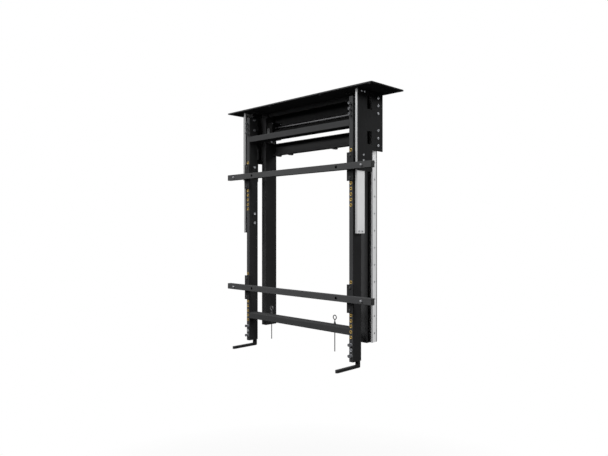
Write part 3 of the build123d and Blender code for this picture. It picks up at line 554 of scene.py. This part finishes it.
rivetSettings = {
    "columns": 24,
    "rowTop": 50.0,          # first nut above the middle of the crossbar
    "perRow": 11,
    "flange": 5.0,
    "flangeHeight": 1.0,
    "body": 4.3,
    "bulge": 5.3,            # where the nut was squeezed behind the wall
    "bore": 3.1,
    "length": 10.0,
    "thread": {"depth": 0.42, "pitch": 1.0, "reach": 5.0},
}


def rivetNut(s):
    # radius against height: round the outside from the inner end to the flange, then down the bore
    a = turnOf(s["columns"])
    flange, high, bore, t = s["flange"], s["flangeHeight"], s["bore"], s["thread"]
    body, bulge, end = s["body"], s["bulge"], -s["length"]
    outside = turned(a, [
        (bore, end), (body - 0.3, end), (body, end + 0.4), (body, -5.0), (bulge, -3.9),
        (bulge, -3.0), (body, -2.1), (body, 0.0), (flange - 0.1, 0.0), (flange, 0.12),
        (flange, high - 0.45), (flange - 0.18, high - 0.12), (flange - 0.5, high),
        (bore + 0.85, high), (bore + 0.3, high - 0.2), (bore, high - 0.55),
    ])
    thread = threadRings(a, bore, t["depth"], t["pitch"], high - 0.6, high - t["reach"],
                         samples=4)
    return np.concatenate([outside, thread])


def addRivetNuts(s):
    nut = rivetNut(s)
    heights = crossbarHeights[:, None] + s["rowTop"] - rivetPitch * np.arange(s["perRow"])
    rows = mirroredPlaces(at(uprightX, uprightFront, heights.ravel()))
    addPiece("rivetNuts", "carriage", "brass", [stamped(nut, "front", rows, closed=True)])
    low = mirroredPlaces(at(uprightX, uprightFront, clampHeights))
    addPiece("clampNuts", "carriage", "zinc_steel", [stamped(nut, "front", low, closed=True)])


addRivetNuts(rivetSettings)


# Hexagon bolts: heads with a cut cone on top and a washer face, threaded shanks

boltSettings = {
    "columns": 48,
    "flats": 10.0,
    "high": 4.0,
    "coneSlope": 0.55,
    "washerFace": 0.35,
    "shank": 3.0,
    "thread": {"depth": 0.45, "pitch": 1.0},
}
frontBoltSettings = {        # ahead: from the upright's front to the seat of the heads
    "top": {"heights": [-48.5, -65.2, -81.9], "ahead": 7.0, "threadEnd": -12.0, "tip": -27.0},
    "low": {"heights": clampHeights[::2], "ahead": 8.0, "threadEnd": -13.0, "tip": -34.0},
}


def hexHead(a, s):
    # from the middle of the top outward, over the cone, down the flats to the washer face
    side = hexReach(a, s["flats"])
    rim = s["flats"] / 2 * rimShare
    drop = (side - rim) * s["coneSlope"]
    high = s["high"]
    return np.concatenate([
        turned(a, [(0, high - 0.15), (rim * 0.62, high - 0.15), (rim * 0.72, high), (rim, high)]),
        rings(a, side[None], (high - drop)[None]),
        rings(a, side[None], (s["washerFace"] + drop)[None]),
        turned(a, [(rim, s["washerFace"]), (rim, 0)]),
    ])


def hexBolt(s, threadEnd, tip):
    # head above height 0, thread from the head down to threadEnd, plain and pointed to the tip
    a = turnOf(s["columns"])
    shank, t = s["shank"], s["thread"]
    root = shank - t["depth"]
    return np.concatenate([
        hexHead(a, s),
        turned(a, [(shank, 0), (shank, -0.2)]),
        threadRings(a, shank, t["depth"], t["pitch"], -0.4, threadEnd),
        turned(a, [(root, threadEnd - 0.3), (root, tip + 0.8), (shank - 1.0, tip), (0, tip)]),
    ])


def addFrontBolts(s, bolt):
    dark = plainMetal("darkZincSteel", metalSettings["dark"])
    # the top bolts take the darkest steel of the set
    deep = plainMetal("darkestSteel", metalSettings["deep"])
    for name, row, finish in (("topBolts", s["top"], deep), ("footClampBolts", s["low"], dark)):
        places = mirroredPlaces(at(uprightX, uprightFront - row["ahead"], row["heights"]))
        shape = hexBolt(bolt, row["threadEnd"], row["tip"])
        addPiece(name, "carriage", "zinc_steel", [stamped(shape, "front", places)], finish=finish)


addFrontBolts(frontBoltSettings, dict(boltSettings, flats=8.5))


# Display studs: a threaded end in front of the crossbar, a hexagon head behind it

studSettings = {
    "x": 300.0,
    "front": -80.4,          # where the thread begins
    "reach": 5.6,
    "shank": 2.7,
    "back": -65.0,
}


def addStuds(s, bolt):
    a = turnOf(bolt["columns"])
    full, length = s["reach"], s["back"] - s["front"]
    shank, t = bolt["shank"], bolt["thread"]
    stud = np.concatenate([
        turned(a, [(0, full), (1.9, full), (2.5, full - 0.35), (2.75, full - 0.7)]),
        threadRings(a, shank, t["depth"], t["pitch"], full - 0.8, 0.3, samples=6),
        turned(a, [(shank, 0), (s["shank"], 0), (s["shank"], -length)]),
        hexHead(a, bolt)[::-1] * (1, 1, -1) + (0, 0, -length),
    ])
    places = mirroredPlaces(at(s["x"], s["front"], crossbarHeights))
    addPiece("displayStuds", "carriage", "zinc_steel", [stamped(stud, "front", places)],
             finish=plainMetal("studSteel", metalSettings["stud"]))


addStuds(studSettings, boltSettings)


# Socket screws: domed, flat or cylindrical heads with a key recess

screwSettings = {
    "button": {"columns": 36, "radius": 4.3, "high": 2.8, "rim": 0.5, "flat": 2.75, "key": 4.0,
               "keyDepth": 1.7, "shank": 3.0, "length": 8.0},
    "small": {"columns": 24, "radius": 3.2, "high": 1.6, "rim": 0.35, "flat": 1.9, "key": 2.2,
              "keyDepth": 0.9, "shank": 1.9, "length": 3.4},
    "rail": {"columns": 24, "radius": 3.0, "high": 2.4, "rim": 2.1, "flat": 2.6, "key": 3.0,
             "keyDepth": 1.5, "shank": 1.9, "length": 5.2},
    "strut": {"columns": 36, "radius": 4.5, "high": 3.5, "rim": 3.1, "flat": 3.9, "key": 4.0,
              "keyDepth": 1.9, "shank": 3.0, "length": 18.0},
}
sideFace = 270.0             # X of the side plates' outer faces
mountHeights = crossbarHeights[:, None] + (2 * rivetPitch, -2 * rivetPitch)
screwPlaces = {
    "glide": at(sideFace, 38.0, [-21.8, -45.2, -68.6, -122.2, -145.6, -169.0]),
    "mount": at(uprightX, -65.0, mountHeights.ravel()),
    "plate": [(sideFace, -42.0, -11.0), (sideFace, -28.0, -11.0), (sideFace, -33.0, -204.0),
              (sideFace, -33.0, -220.5)],
    "strip": [(267.0, -49.3, -435.0), (267.0, -34.6, -435.0)],
    "rail": at(252.8, 38.0, -754.0 + 53.4 * np.arange(14)),
    "strut": at(-235.5, strutY, strutHeights),    # inside the upright, heads toward the middle
}


def socketScrew(s):
    # key recess from its pointed floor up, out over the dome, down the rim, along the shank
    a = turnOf(s["columns"])
    key = hexReach(a, s["key"])
    mouth = s["key"] / 2 * 1.19          # just past the recess's corners
    high, rim, flat, radius = s["high"], s["rim"], s["flat"], s["radius"]
    shank, end, floor = s["shank"], -s["length"], high - s["keyDepth"]
    bend = np.linspace(0, math.pi / 2, 6)
    dome = np.stack([flat + (radius - flat) * np.sin(bend), rim + (high - rim) * np.cos(bend)],
                    axis=-1)
    return np.concatenate([
        turned(a, [(0, floor - 0.25)]),
        rings(a, key[None], [floor]),
        rings(a, key[None], [high - 0.2]),
        turned(a, [(mouth, high)] + dome.tolist()),
        turned(a, [(radius, 0.15), (radius - 0.15, 0), (shank, 0), (shank, end + 0.4),
                   (shank - 0.4, end), (0, end)]),
    ])


def addSocketScrews(s, places):
    zinc = "zinc_steel"
    button, small = socketScrew(s["button"]), socketScrew(s["small"])
    rail, strut = socketScrew(s["rail"]), socketScrew(s["strut"])
    addPiece("glideBolts", "carriage", zinc, onBothSides(button, places["glide"]))
    addPiece("mountBolts", "carriage", "black_oxide",
             [stamped(button, "front", mirroredPlaces(places["mount"]))])
    addPiece("stripScrews", "carriage", zinc,
             onBothSides(small, places["plate"] + places["strip"]))
    addPiece("railScrews", "frame", zinc, onBothSides(rail, places["rail"]),
             finish=plainMetal("screwSteel", metalSettings["screw"]))
    addPiece("strutBolts", "carriage", zinc, onBothSides(strut, places["strut"]))


addSocketScrews(screwSettings, screwPlaces)
print("nuts, bolts and screws made")


# Screws of the drive: gearbox ear, motor bracket and gearbox cover

coverFace = -194.0           # X of the gearbox cover's face, where the motor begins
driveScrewPlaces = {
    "ear": [(-220.0, 32.25, -105.63)],
    "bracket": [(222.6, 23.25, -99.63), (222.6, 57.25, -99.63)],
    "cover": [(coverFace, 16.8, -42.6), (coverFace, 54.4, -42.6), (coverFace, 16.8, -96.0),
              (coverFace, 54.8, -96.2)],
}


def addDriveScrews(s, places):
    ear = socketScrew(dict(s["button"], length=5.6))
    bracket = socketScrew(dict(s["button"], length=3.0))
    cover = socketScrew(dict(s["small"], radius=2.4, flat=1.3, key=1.6, high=1.3, shank=1.4,
                             length=1.8))
    addPiece("driveBolts", "frame", "zinc_steel",
             [stamped(ear, "right", places["ear"]), stamped(bracket, "left", places["bracket"])])
    addPiece("coverScrews", "frame", "zinc_steel", [stamped(cover, "right", places["cover"])])


addDriveScrews(screwSettings, driveScrewPlaces)


# Shaft across the top, its bushes, and the belt drive in each column

driveSettings = {
    "columns": 40,
    "shaftY": 32.25,
    "shaftZ": -58.0,
    "idlerZ": -752.0,
    "beltX": 236.6,
    "shaftReach": 243.6,
    "shaftRadius": 5.0,
    "shaftBore": 5.05,
    "axleBore": 4.05,
    "bushX": 222.2,
    "bushColumns": 64,
    "ringGroove": 219.0,     # groove for a retaining ring, next to each bush
    "grooveWidth": 1.2,
    "grooveDepth": 0.3,
    "chamfer": 0.6,
    "barrel": 10.2,
    "barrelHalf": 4.6,
    "flange": 13.5,
    "flangeThickness": 1.2,
    "teeth": 14,
    "toothDepth": 0.9,
    "beltInside": 10.5,
    "beltRoot": 11.1,
    "beltBack": 12.0,
    "beltPitchRadius": 11.25,
    "beltPitch": 5.0,
    "beltHalfWidth": 4.0,
}


def addShaft(s):
    # radius against distance from the middle, with chamfered ends and two narrow grooves
    a = turnOf(s["columns"])
    r, end, groove, cut = s["shaftRadius"], s["shaftReach"], s["ringGroove"], s["chamfer"]
    start, floor = groove - s["grooveWidth"], r - s["grooveDepth"]
    half = [(r, start), (floor, start), (floor, groove), (r, groove),
            (r, end - cut), (r - cut, end), (0, end)]
    other = [(radius, -height) for radius, height in half[::-1]]
    addPiece("syncShaft", "drive_shaft", "bright_steel",
             [stamped(turned(a, other + half), "right", [(0, s["shaftY"], s["shaftZ"])])])
    bush = turned(turnOf(s["bushColumns"]), [
        (s["shaftBore"], 0), (6.6, 0), (6.9, 0.3), (8.6, 0.3), (8.9, 0), (12.4, 0), (13.0, 0.5),
        (13.0, 3.0), (12.7, 3.4), (9.5, 3.4), (9.5, 7.2), (9.1, 7.6), (s["shaftBore"], 7.6),
    ])
    addPiece("shaftBearings", "frame", "brass",
             onBothSides(bush, (s["bushX"], s["shaftY"], s["shaftZ"]), closed=True),
             finish=plainMetal("bushBrass", metalSettings["bush"]))


def beltWheel(s, bore):
    # rows of rings along the axis; the barrel's radius drops into a groove once per tooth
    a = turnOf(s["teeth"] * 6)
    phase = (a / twoPi * s["teeth"]) % 1
    grooved = s["barrel"] - s["toothDepth"] * np.clip(2.2 - 8 * np.abs(phase - 0.5), 0, 1)
    half, rim = s["barrelHalf"], s["flange"]
    out = half + s["flangeThickness"]
    left = turned(a, [(bore, -out), (rim - 0.5, -out), (rim, -out + 0.4), (rim, -half - 0.35),
                      (rim - 0.4, -half)])
    barrel = rings(a, np.stack([grooved, grooved]), [-half, half])
    return np.concatenate([left, barrel, left[::-1] * (1, 1, -1)])


def driveBelt(s):
    # runs down in front of the wheels, round the idler, up behind and over the shaft's wheel;
    # in each pitch a tooth takes the first 0.32, and the gap lies between 0.44 and 0.88
    run = s["shaftZ"] - s["idlerZ"]
    bend = math.pi * s["beltPitchRadius"]
    marks = np.cumsum([0, run, bend, run, bend])
    count = round(marks[-1] / s["beltPitch"])
    steps = np.arange(count)[:, None] + np.array([0.0, 0.32, 0.44, 0.88])
    along = steps.ravel() * marks[-1] / count
    turn = np.interp(along, marks, [math.pi, math.pi, twoPi, twoPi, 3 * math.pi])
    height = np.interp(along, marks, [s["shaftZ"], s["idlerZ"], s["idlerZ"], s["shaftZ"],
                                      s["shaftZ"]])
    inside = np.tile([s["beltInside"], s["beltInside"], s["beltRoot"], s["beltRoot"]], count)
    half, back = (np.full_like(inside, s[name]) for name in ("beltHalfWidth", "beltBack"))
    path = at(s["beltX"], s["shaftY"], height)
    outward = at(0, np.cos(turn), np.sin(turn))
    return swept(path, (1, 0, 0), outward, bandSection(half, inside, back))


def addBeltDrives(s):
    for side, sign in (("right", 1), ("left", -1)):
        x = sign * s["beltX"]
        wheels = [("drivePulley", "drive_shaft", s["shaftZ"], s["shaftBore"]),
                  ("idlerPulley", "idler_" + side, s["idlerZ"], s["axleBore"])]
        for name, body, z, bore in wheels:
            addPiece(name + side.capitalize(), body, "bright_steel",
                     [stamped(beltWheel(s, bore), "right", [(x, s["shaftY"], z)], closed=True)])
        belt = stamped(driveBelt(s), "up", [(0, 0, 0)], closed=True)
        addPiece("driveBelt" + side.capitalize(), "frame", "belt_rubber",
                 [belt if sign > 0 else mirroredShape(belt)])


addShaft(driveSettings)
addBeltDrives(driveSettings)


# Tubular motor: rolled ends and crimp grooves, a blind bore for the pinion's shaft

motorSettings = {
    "columns": 72,
    "place": (coverFace, 40.25, -80.627),
    "radius": 18.0,
    "length": 390.6,
    "bore": 4.05,
    "boreDepth": 10.0,
    "crimps": (9.0, 17.0),   # distance of the grooves from each end
    "crimpDepth": 0.55,
}


def addMotor(s):
    # radius against length: up from the bore, over the rolled end, along the tube and back
    r, end, deep = s["radius"], s["length"], s["crimpDepth"]
    start = [(0, s["boreDepth"]), (s["bore"], s["boreDepth"]), (s["bore"], 0), (6.5, 0),
             (6.5, 0.4), (12.0, 0.4), (12.0, 0), (r - 1.2, 0), (r - 0.35, 0.35), (r, 1.2)]
    crimps = [(r - depth, middle + shift) for middle in s["crimps"]
              for depth, shift in ((0, -1.6), (deep, -0.7), (deep, 0.7), (0, 1.6))]
    far = [(radius, end - height) for radius, height in crimps[::-1]]
    stop = [(r, end - 1.2), (r - 0.35, end - 0.35), (r - 1.2, end), (0, end)]
    tube = turned(turnOf(s["columns"]), start + crimps + far + stop)
    addPiece("motorTube", "frame", "motor_paint", [stamped(tube, "right", [s["place"]])])


addMotor(motorSettings)
print("drive dressed")


# Turned spacers between uprights and strips

spacerSettings = {
    "columns": 40,
    "x": 251.0,              # outer face of the upright
    "bore": 3.2,
    "radius": 7.0,
    "length": 8.5,
    "chamfer": 0.4,
}


def addSpacers(s):
    bore, r, end, cut = s["bore"], s["radius"], s["length"], s["chamfer"]
    ring = turned(turnOf(s["columns"]), [(bore, 0), (r - cut, 0), (r, cut), (r, end - cut),
                                         (r - cut, end), (bore, end)])
    addPiece("strutSpacers", "carriage", "zinc_steel",
             onBothSides(ring, at(s["x"], strutY, strutHeights), closed=True))


addSpacers(spacerSettings)


# Eye bolts through the lower tube, with their nuts

eyeSettings = {
    "x": 150.0,
    "y": -29.0,
    "ringHeight": -708.0,
    "ringRadius": 6.6,
    "ringTurn": (-60, 240),  # degrees, where the ring leaves the neck and where it comes back
    "neck": -718.0,
    "wire": 1.6,
    "columns": 14,
    "bottom": -817.0,
    "threadTop": -722.0,
    "pitch": 0.7,
    "threadDepth": 0.2,
    "seat": -730.0,          # top of the lower tube
    "under": -750.0,
    "nutColumns": 48,
    "flats": 7.0,
    "nutHeight": 3.2,
    "cornerSlope": 0.5,
    "cone": 5.5,
    "coneTop": 2.2,
}


def eyeBolt(s):
    # threaded rod, a short bend, the ring, and the same bend back onto the rod, all one wire
    count = int((s["threadTop"] - s["bottom"]) / s["pitch"] * 4)
    rod = np.linspace(s["bottom"] + 0.5, s["threadTop"], count)
    circle = np.radians(np.linspace(*s["ringTurn"], 50))
    ringX = s["x"] + s["ringRadius"] * np.cos(circle)
    ringZ = s["ringHeight"] + s["ringRadius"] * np.sin(circle)
    t = np.linspace(0, 1, 7)[1:-1]
    corner = ringX[0] - s["x"]
    bendX = corner * t ** 2
    bendZ = (s["neck"] * (1 - t) ** 2 + 2 * (ringZ[0] - corner / math.sqrt(3)) * t * (1 - t)
             + ringZ[0] * t ** 2)
    x = np.concatenate([np.full(count + 2, s["x"]), s["x"] + bendX, ringX, s["x"] - bendX[:0:-1]])
    z = np.concatenate([rod, [s["threadTop"] + 1.0, s["neck"]], bendZ, ringZ, bendZ[:0:-1]])
    wayX, wayZ = np.gradient(x), np.gradient(z)
    length = np.hypot(wayX, wayZ)
    side = at(-wayZ / length, 0, wayX / length)
    a = turnOf(s["columns"])
    phase = (rod[:, None] / s["pitch"] + a[None] / twoPi) % 1
    radius = np.full((len(x), len(a)), s["wire"])
    radius[:count] -= s["threadDepth"] * (1 - np.abs(2 * phase - 1))
    section = radius[..., None] * np.stack([np.cos(a), np.sin(a)], axis=-1)
    return capped(swept(at(x, s["y"], z), (0, 1, 0), side, section))


def eyeNut(s, cone):
    # hexagon with both corners cut, and on the upper nut a tapered collar
    a = turnOf(s["nutColumns"])
    side = hexReach(a, s["flats"])
    high, bore, thin = s["nutHeight"], s["wire"], s["coneTop"]
    rim = s["flats"] / 2 * rimShare
    drop = (side - rim) * s["cornerSlope"]
    top = [(rim, high), (bore, high)]
    if cone:
        tip = high + cone
        top = [(rim, high), (rim, high + 0.6), (thin, tip - 0.3), (thin - 0.3, tip), (bore, tip)]
    return np.concatenate([turned(a, [(bore, 0), (rim, 0)]),
                           rings(a, side[None], drop[None]),
                           rings(a, side[None], (high - drop)[None]),
                           turned(a, top)])


def addEyeBolts(s):
    eye = stamped(eyeBolt(s), "up", [(0, 0, 0)])
    dull = plainMetal("eyeZincSteel", metalSettings["eye"])
    addPiece("eyeBoltRight", "carriage", "zinc_steel", [eye], finish=dull)
    addPiece("eyeBoltLeft", "carriage", "zinc_steel", [mirroredShape(eye)], finish=dull)
    above = mirroredPlaces((s["x"], s["y"], s["seat"]))
    below = mirroredPlaces((s["x"], s["y"], s["under"]))
    addPiece("eyeNuts", "carriage", "black_oxide",
             [stamped(eyeNut(s, s["cone"]), "up", above, closed=True),
              stamped(eyeNut(s, 0), "down", below, closed=True)])


addEyeBolts(eyeSettings)


# Moulded caps in the crossbars' ends and stops under the rear beam

capSettings = {
    "seat": 335.5,
    "middleY": -72.5,
    "halfDepth": 7.5,
    "halfHeight": 10.0,
    "plugInset": 1.6,
    "plugLength": 6.0,
    "thickness": 2.0,
}
bumperSettings = {
    "middles": (-205.0, -143.0, 72.0),
    "top": -155.0,
    "halfWidth": 13.0,
    "slope": 15.0,
    "depth": (43.0, 61.0),
    "height": 5.5,
    "round": 2.6,
    "corner": 3.0,
}


def addCaps(s):
    # outlines from the plug's end outward; each pair is a height and how far the outline draws in
    inset = s["plugInset"]
    rows = [(-s["plugLength"], inset + 0.7), (0.7 - s["plugLength"], inset), (0.0, inset),
            (0.0, 0.12), (0.12, 0.0), (1.1, 0.0), (1.5, 0.25), (1.8, 0.8), (1.95, 1.8),
            (s["thickness"], 3.4)]
    deep, high = s["halfDepth"], s["halfHeight"]
    grid = np.stack([roundedOutline(i - deep, deep - i, i - high, high - i, max(1.0, i * 0.9), z)
                     for z, i in rows])
    addPiece("crossbarCaps", "carriage", "black_plastic",
             onBothSides(capped(grid), at(s["seat"], s["middleY"], crossbarHeights)))


def addBumpers(s):
    # outlines downward from the beam: the left edge runs in along a slope, the rest curves in
    low, high = s["depth"]
    depths = s["height"] * np.sin(np.linspace(0, math.pi / 2, 8))
    arc = np.clip(depths - (s["height"] - s["round"]), 0, s["round"]) / s["round"]
    insets = s["round"] * (1 - np.sqrt(1 - arc ** 2))
    slopes = s["slope"] * depths / s["height"]
    wide, deep = s["halfWidth"], (high - low) / 2
    grid = np.stack([roundedOutline(slope - wide + inset * 0.6, wide - inset, inset - deep,
                                    deep - inset, s["corner"], depth)
                     for depth, inset, slope in zip(depths, insets, slopes)])
    places = [(x, (low + high) / 2, s["top"]) for x in s["middles"]]
    addPiece("beamBumpers", "frame", "black_plastic", [stamped(capped(grid), "down", places)])


addCaps(capSettings)
addBumpers(bumperSettings)


# Feet: one bar bent round a tight corner, its tip rounded in plan

footSettings = {
    "middleX": uprightX,
    "half": 5.45,
    "top": -712.5,
    "front": -33.5,
    "back": -22.3,
    "armTop": -843.5,
    "armUnder": -852.0,
    "heel": 4.0,
    "postEnd": 20.0,         # last level section of the post, above the arm
    "armStart": 30.0,        # first upright section of the arm, in front of the post
    "tip": -128.78,
    "edge": 0.9,
}


def footBar(s):
    # sections from the post's top down, fanned round the inner corner, then along the arm;
    # each goes from the bar's inner side outward by its thickness, with its own half width
    deep, thick, heel = s["back"] - s["front"], s["armTop"] - s["armUnder"], s["heel"]
    turn = np.linspace(0, math.pi / 2, 6)
    fanY = np.concatenate([[deep, deep], deep - heel + heel * np.cos(turn), [deep / 3, 0]])
    fanZ = np.concatenate([[0, (thick - heel) / 2], thick - heel + heel * np.sin(turn),
                           [thick, thick]])
    tipTurn = np.linspace(0, math.pi / 2, 8)
    tipMiddle = s["tip"] + s["half"]
    armY = np.concatenate([[s["front"] - s["armStart"]], tipMiddle - s["half"] * np.sin(tipTurn)])
    halves = np.concatenate([np.full(2 + len(fanY) + 1, s["half"]), s["half"] * np.cos(tipTurn)])
    innerY = np.concatenate([np.full(2 + len(fanY), s["front"]), armY])
    innerZ = np.concatenate([[s["top"], s["armTop"] + s["postEnd"]],
                             np.full(len(fanY) + len(armY), s["armTop"])])
    outY = np.concatenate([[deep, deep], fanY, np.zeros(len(armY))])
    outZ = np.concatenate([[0, 0], -fanZ, np.full(len(armY), -thick)])
    thickness = np.hypot(outY, outZ)
    outward = at(0, outY / thickness, outZ / thickness)
    path = at(s["middleX"], innerY, innerZ)
    return capped(swept(path, (1, 0, 0), outward, bandSection(halves, 0 * halves, thickness)))


def addFeet(s):
    foot = stamped(footBar(s), "up", [(0, 0, 0)])
    for name, shape in (("footRight", foot), ("footLeft", mirroredShape(foot))):
        addPiece(name, nodeNamed(name), "powder_coat", [shape], bevel=s["edge"])


addFeet(footSettings)


# Weld seams: a rippled fillet in each corner between plates and tubes

left, right, front, back = (-1, 0, 0), (1, 0, 0), (0, -1, 0), (0, 1, 0)
up, down = (0, 0, 1), (0, 0, -1)
weldSettings = {
    "radius": 2.4,
    "smallRadius": 1.6,
    "ripple": 0.09,
    "pitch": 1.9,
    "fade": 2.5,             # length over which a seam grows at its start
    "root": -0.3,            # the seam's inner corner lies this far inside the plates
    "smooth": 60,
}
stitchMiddles = np.linspace(-190, 190, 5)
stitchHalf = 14
seamLines = {                # x, y and z, the one that runs as a pair, then the two sides it fills
    "tubes": [               # upper beam and lower tube against the uprights
        (235.5, (-57, -22), -95, left, up),
        (235.5, (-57, -22), -115, left, down),
        (235.5, -20, (-113, -97), left, back),
        (235.5, (-57, -22), -730, left, up),
        (235.5, (-57, -22), -750, left, down),
        (235.5, -20, (-748, -732), left, back),
    ],
    "lug": [((-142.5, -129.5), -57, -95, front, up), ((-142.5, -129.5), -55, -95, back, up)],
    "gussets": [(210.6, (-76, 8), -4, right, down), (207.6, (-76, 8), -4, left, down)],
    "columns": [             # against the plate, then against the panel and the rear beam
        (225.6, (30, 58), -4, left, down),
        ((227, 246), 10, -4, front, down),
        (225.6, 60, (-8, -36), left, front),
        (225.6, 60, (-116, -152), left, front),
        (225.6, (53, 60), -113, left, up),
        (225.6, (44, 58), -155, left, down),
    ],
    "stitches": [            # header angle and panel under the plate
        ((middle - stitchHalf, middle + stitchHalf), y, -4, front, down)
        for y in (10, 60) for middle in stitchMiddles
    ],
}


def weldBead(s, x, y, z, across, over):
    # a bulging quarter round along a line; its reach swells once per pitch and fades at both ends
    start, end = np.transpose([np.broadcast_to(each, 2) for each in (x, y, z)]).astype(float)
    length = np.linalg.norm(end - start)
    count = max(6, int(length / s["pitch"] * 4))
    along = np.linspace(0, length, count)
    fade = np.sqrt(np.clip(np.minimum(along, length - along) / s["fade"], 0.04, 1))
    reach = s["radius"] * fade * (1 + s["ripple"] * np.cos(along / s["pitch"] * twoPi))
    b = np.linspace(0, math.pi / 2, 5)
    bulge = 0.86 + 0.14 * np.cos(2 * b) ** 2
    section = np.concatenate([[[s["root"], s["root"]]],
                              np.stack([np.cos(b) * bulge, np.sin(b) * bulge], axis=-1)])
    path = start + (end - start) * (along / length)[:, None]
    return stamped(capped(swept(path, across, over, reach[:, None, None] * section)), "up",
                   [(0, 0, 0)])


def withMirrored(shapes):
    return shapes + [mirroredShape(shape) for shape in shapes]


def addWelds(s, lines):
    small = dict(s, radius=s["smallRadius"])
    sizes = {"tubes": s, "lug": small, "gussets": small, "columns": s, "stitches": small}
    seams = {name: [weldBead(size, *line) for line in lines[name]] for name, size in sizes.items()}
    addPiece("carriageWelds", "carriage", "powder_coat",
             withMirrored(seams["tubes"]) + seams["lug"], smooth=s["smooth"])
    addPiece("frameWelds", "frame", "powder_coat",
             withMirrored(seams["gussets"] + seams["columns"]) + seams["stitches"],
             smooth=s["smooth"])


addWelds(weldSettings, seamLines)
print("beams, feet, caps and weld seams made")


# Stage, light and world

stageSettings = {
    "floorHeight": -1.62,    # metres
    "floorHalf": 9.0,
    "floorColour": 0.95,
    "floorBounce": 0.05,     # floor colour for light that bounces off it
    "floorNear": 0.50,       # how much of the white backdrop shows in the floor under the object
    "whiteFrom": 0.5,        # metres from the object's middle where the floor starts to turn white
    "whiteTo": 1.6,
    "worldLight": 0.015,
    "key": {"place": (-1.0, -2.55, 2.3), "aim": (0, 0, -0.45), "size": 2.5, "power": 144},
    "low": {"place": (0.4, -3.4, 0.65), "aim": (0, 0, -0.4), "size": 1.5, "power": 28},
    "fill": {"place": (3.2, -0.5, 1.3), "aim": (0, 0, -0.4), "size": 0.9, "power": 20},
    "rear": {"place": (0.6, 3.0, 1.8), "aim": (0, 0, -0.4), "size": 2.4, "power": 90},
}


def seenDirectly(tree):
    # 1 for camera, gloss and glass rays, 0 for light that bounces on
    lightPath = tree.nodes.new("ShaderNodeLightPath")
    rays = [Socket(tree, lightPath.outputs[f"Is {kind} Ray"])
            for kind in ("Camera", "Glossy", "Transmission")]
    return (rays[0] + rays[1] + rays[2]).clamped()


def addWorld(s):
    world = bpy.data.worlds.new("studio")
    bpy.context.scene.world = world
    tree = nodesOf(world)
    tree.nodes.clear()
    seen = seenDirectly(tree)
    white = (1, 1, 1, 1)
    lit = seen.node("ShaderNodeBackground", {"Color": white, "Strength": s["worldLight"]})
    plain = seen.node("ShaderNodeBackground", {"Color": white, "Strength": 1.0})
    mixed = seen.node("ShaderNodeMixShader", {0: seen, 1: lit, 2: plain})
    output = tree.nodes.new("ShaderNodeOutputWorld")
    tree.links.new(mixed.out, output.inputs["Surface"])


def addFloor(s):
    half, z = s["floorHalf"], s["floorHeight"]
    mesh = bpy.data.meshes.new("floor")
    corners = [(-half, -half, z), (half, -half, z), (half, half, z), (-half, half, z)]
    mesh.from_pydata(corners, [], [(0, 1, 2, 3)])
    material = bpy.data.materials.new("paleFloor")
    tree = nodesOf(material)
    tree.nodes.clear()
    level = stretched(objectPlace(tree), (1, 1, 0))
    away = level.node("ShaderNodeVectorMath", {0: level}, output=1, operation="LENGTH")
    span = s["whiteTo"] - s["whiteFrom"]
    share = s["floorNear"] + (1 - s["floorNear"]) * away.above(s["whiteFrom"], span)
    seen = seenDirectly(tree)
    colour = seen.mixed(grey(s["floorBounce"]), grey(s["floorColour"]))
    matt = share.node("ShaderNodeBsdfDiffuse", {"Color": colour})
    white = share.node("ShaderNodeEmission", {"Color": (1, 1, 1, 1), "Strength": 1.0})
    mixed = share.node("ShaderNodeMixShader", {0: share * seen, 1: matt, 2: white})
    output = tree.nodes.new("ShaderNodeOutputMaterial")
    tree.links.new(mixed.out, output.inputs["Surface"])
    mesh.materials.append(material)
    newObject("floor", mesh)


def addLamp(name, s):
    data = bpy.data.lights.new(name, "AREA")
    data.energy = s["power"]
    data.size = s["size"]
    lamp = newObject(name, data)
    lamp.location = s["place"]
    way = np.subtract(s["aim"], s["place"])
    flat = math.hypot(way[0], way[1])
    pitch = math.atan2(way[2], flat) + math.pi / 2
    lamp.rotation_euler = (pitch, 0, math.atan2(-way[0], way[1]))


addWorld(stageSettings)
addFloor(stageSettings)
for lampName in ("key", "low", "fill", "rear"):
    addLamp(lampName, stageSettings[lampName])
bpy.context.scene.view_settings.view_transform = "Standard"
print("stage and lamps set")
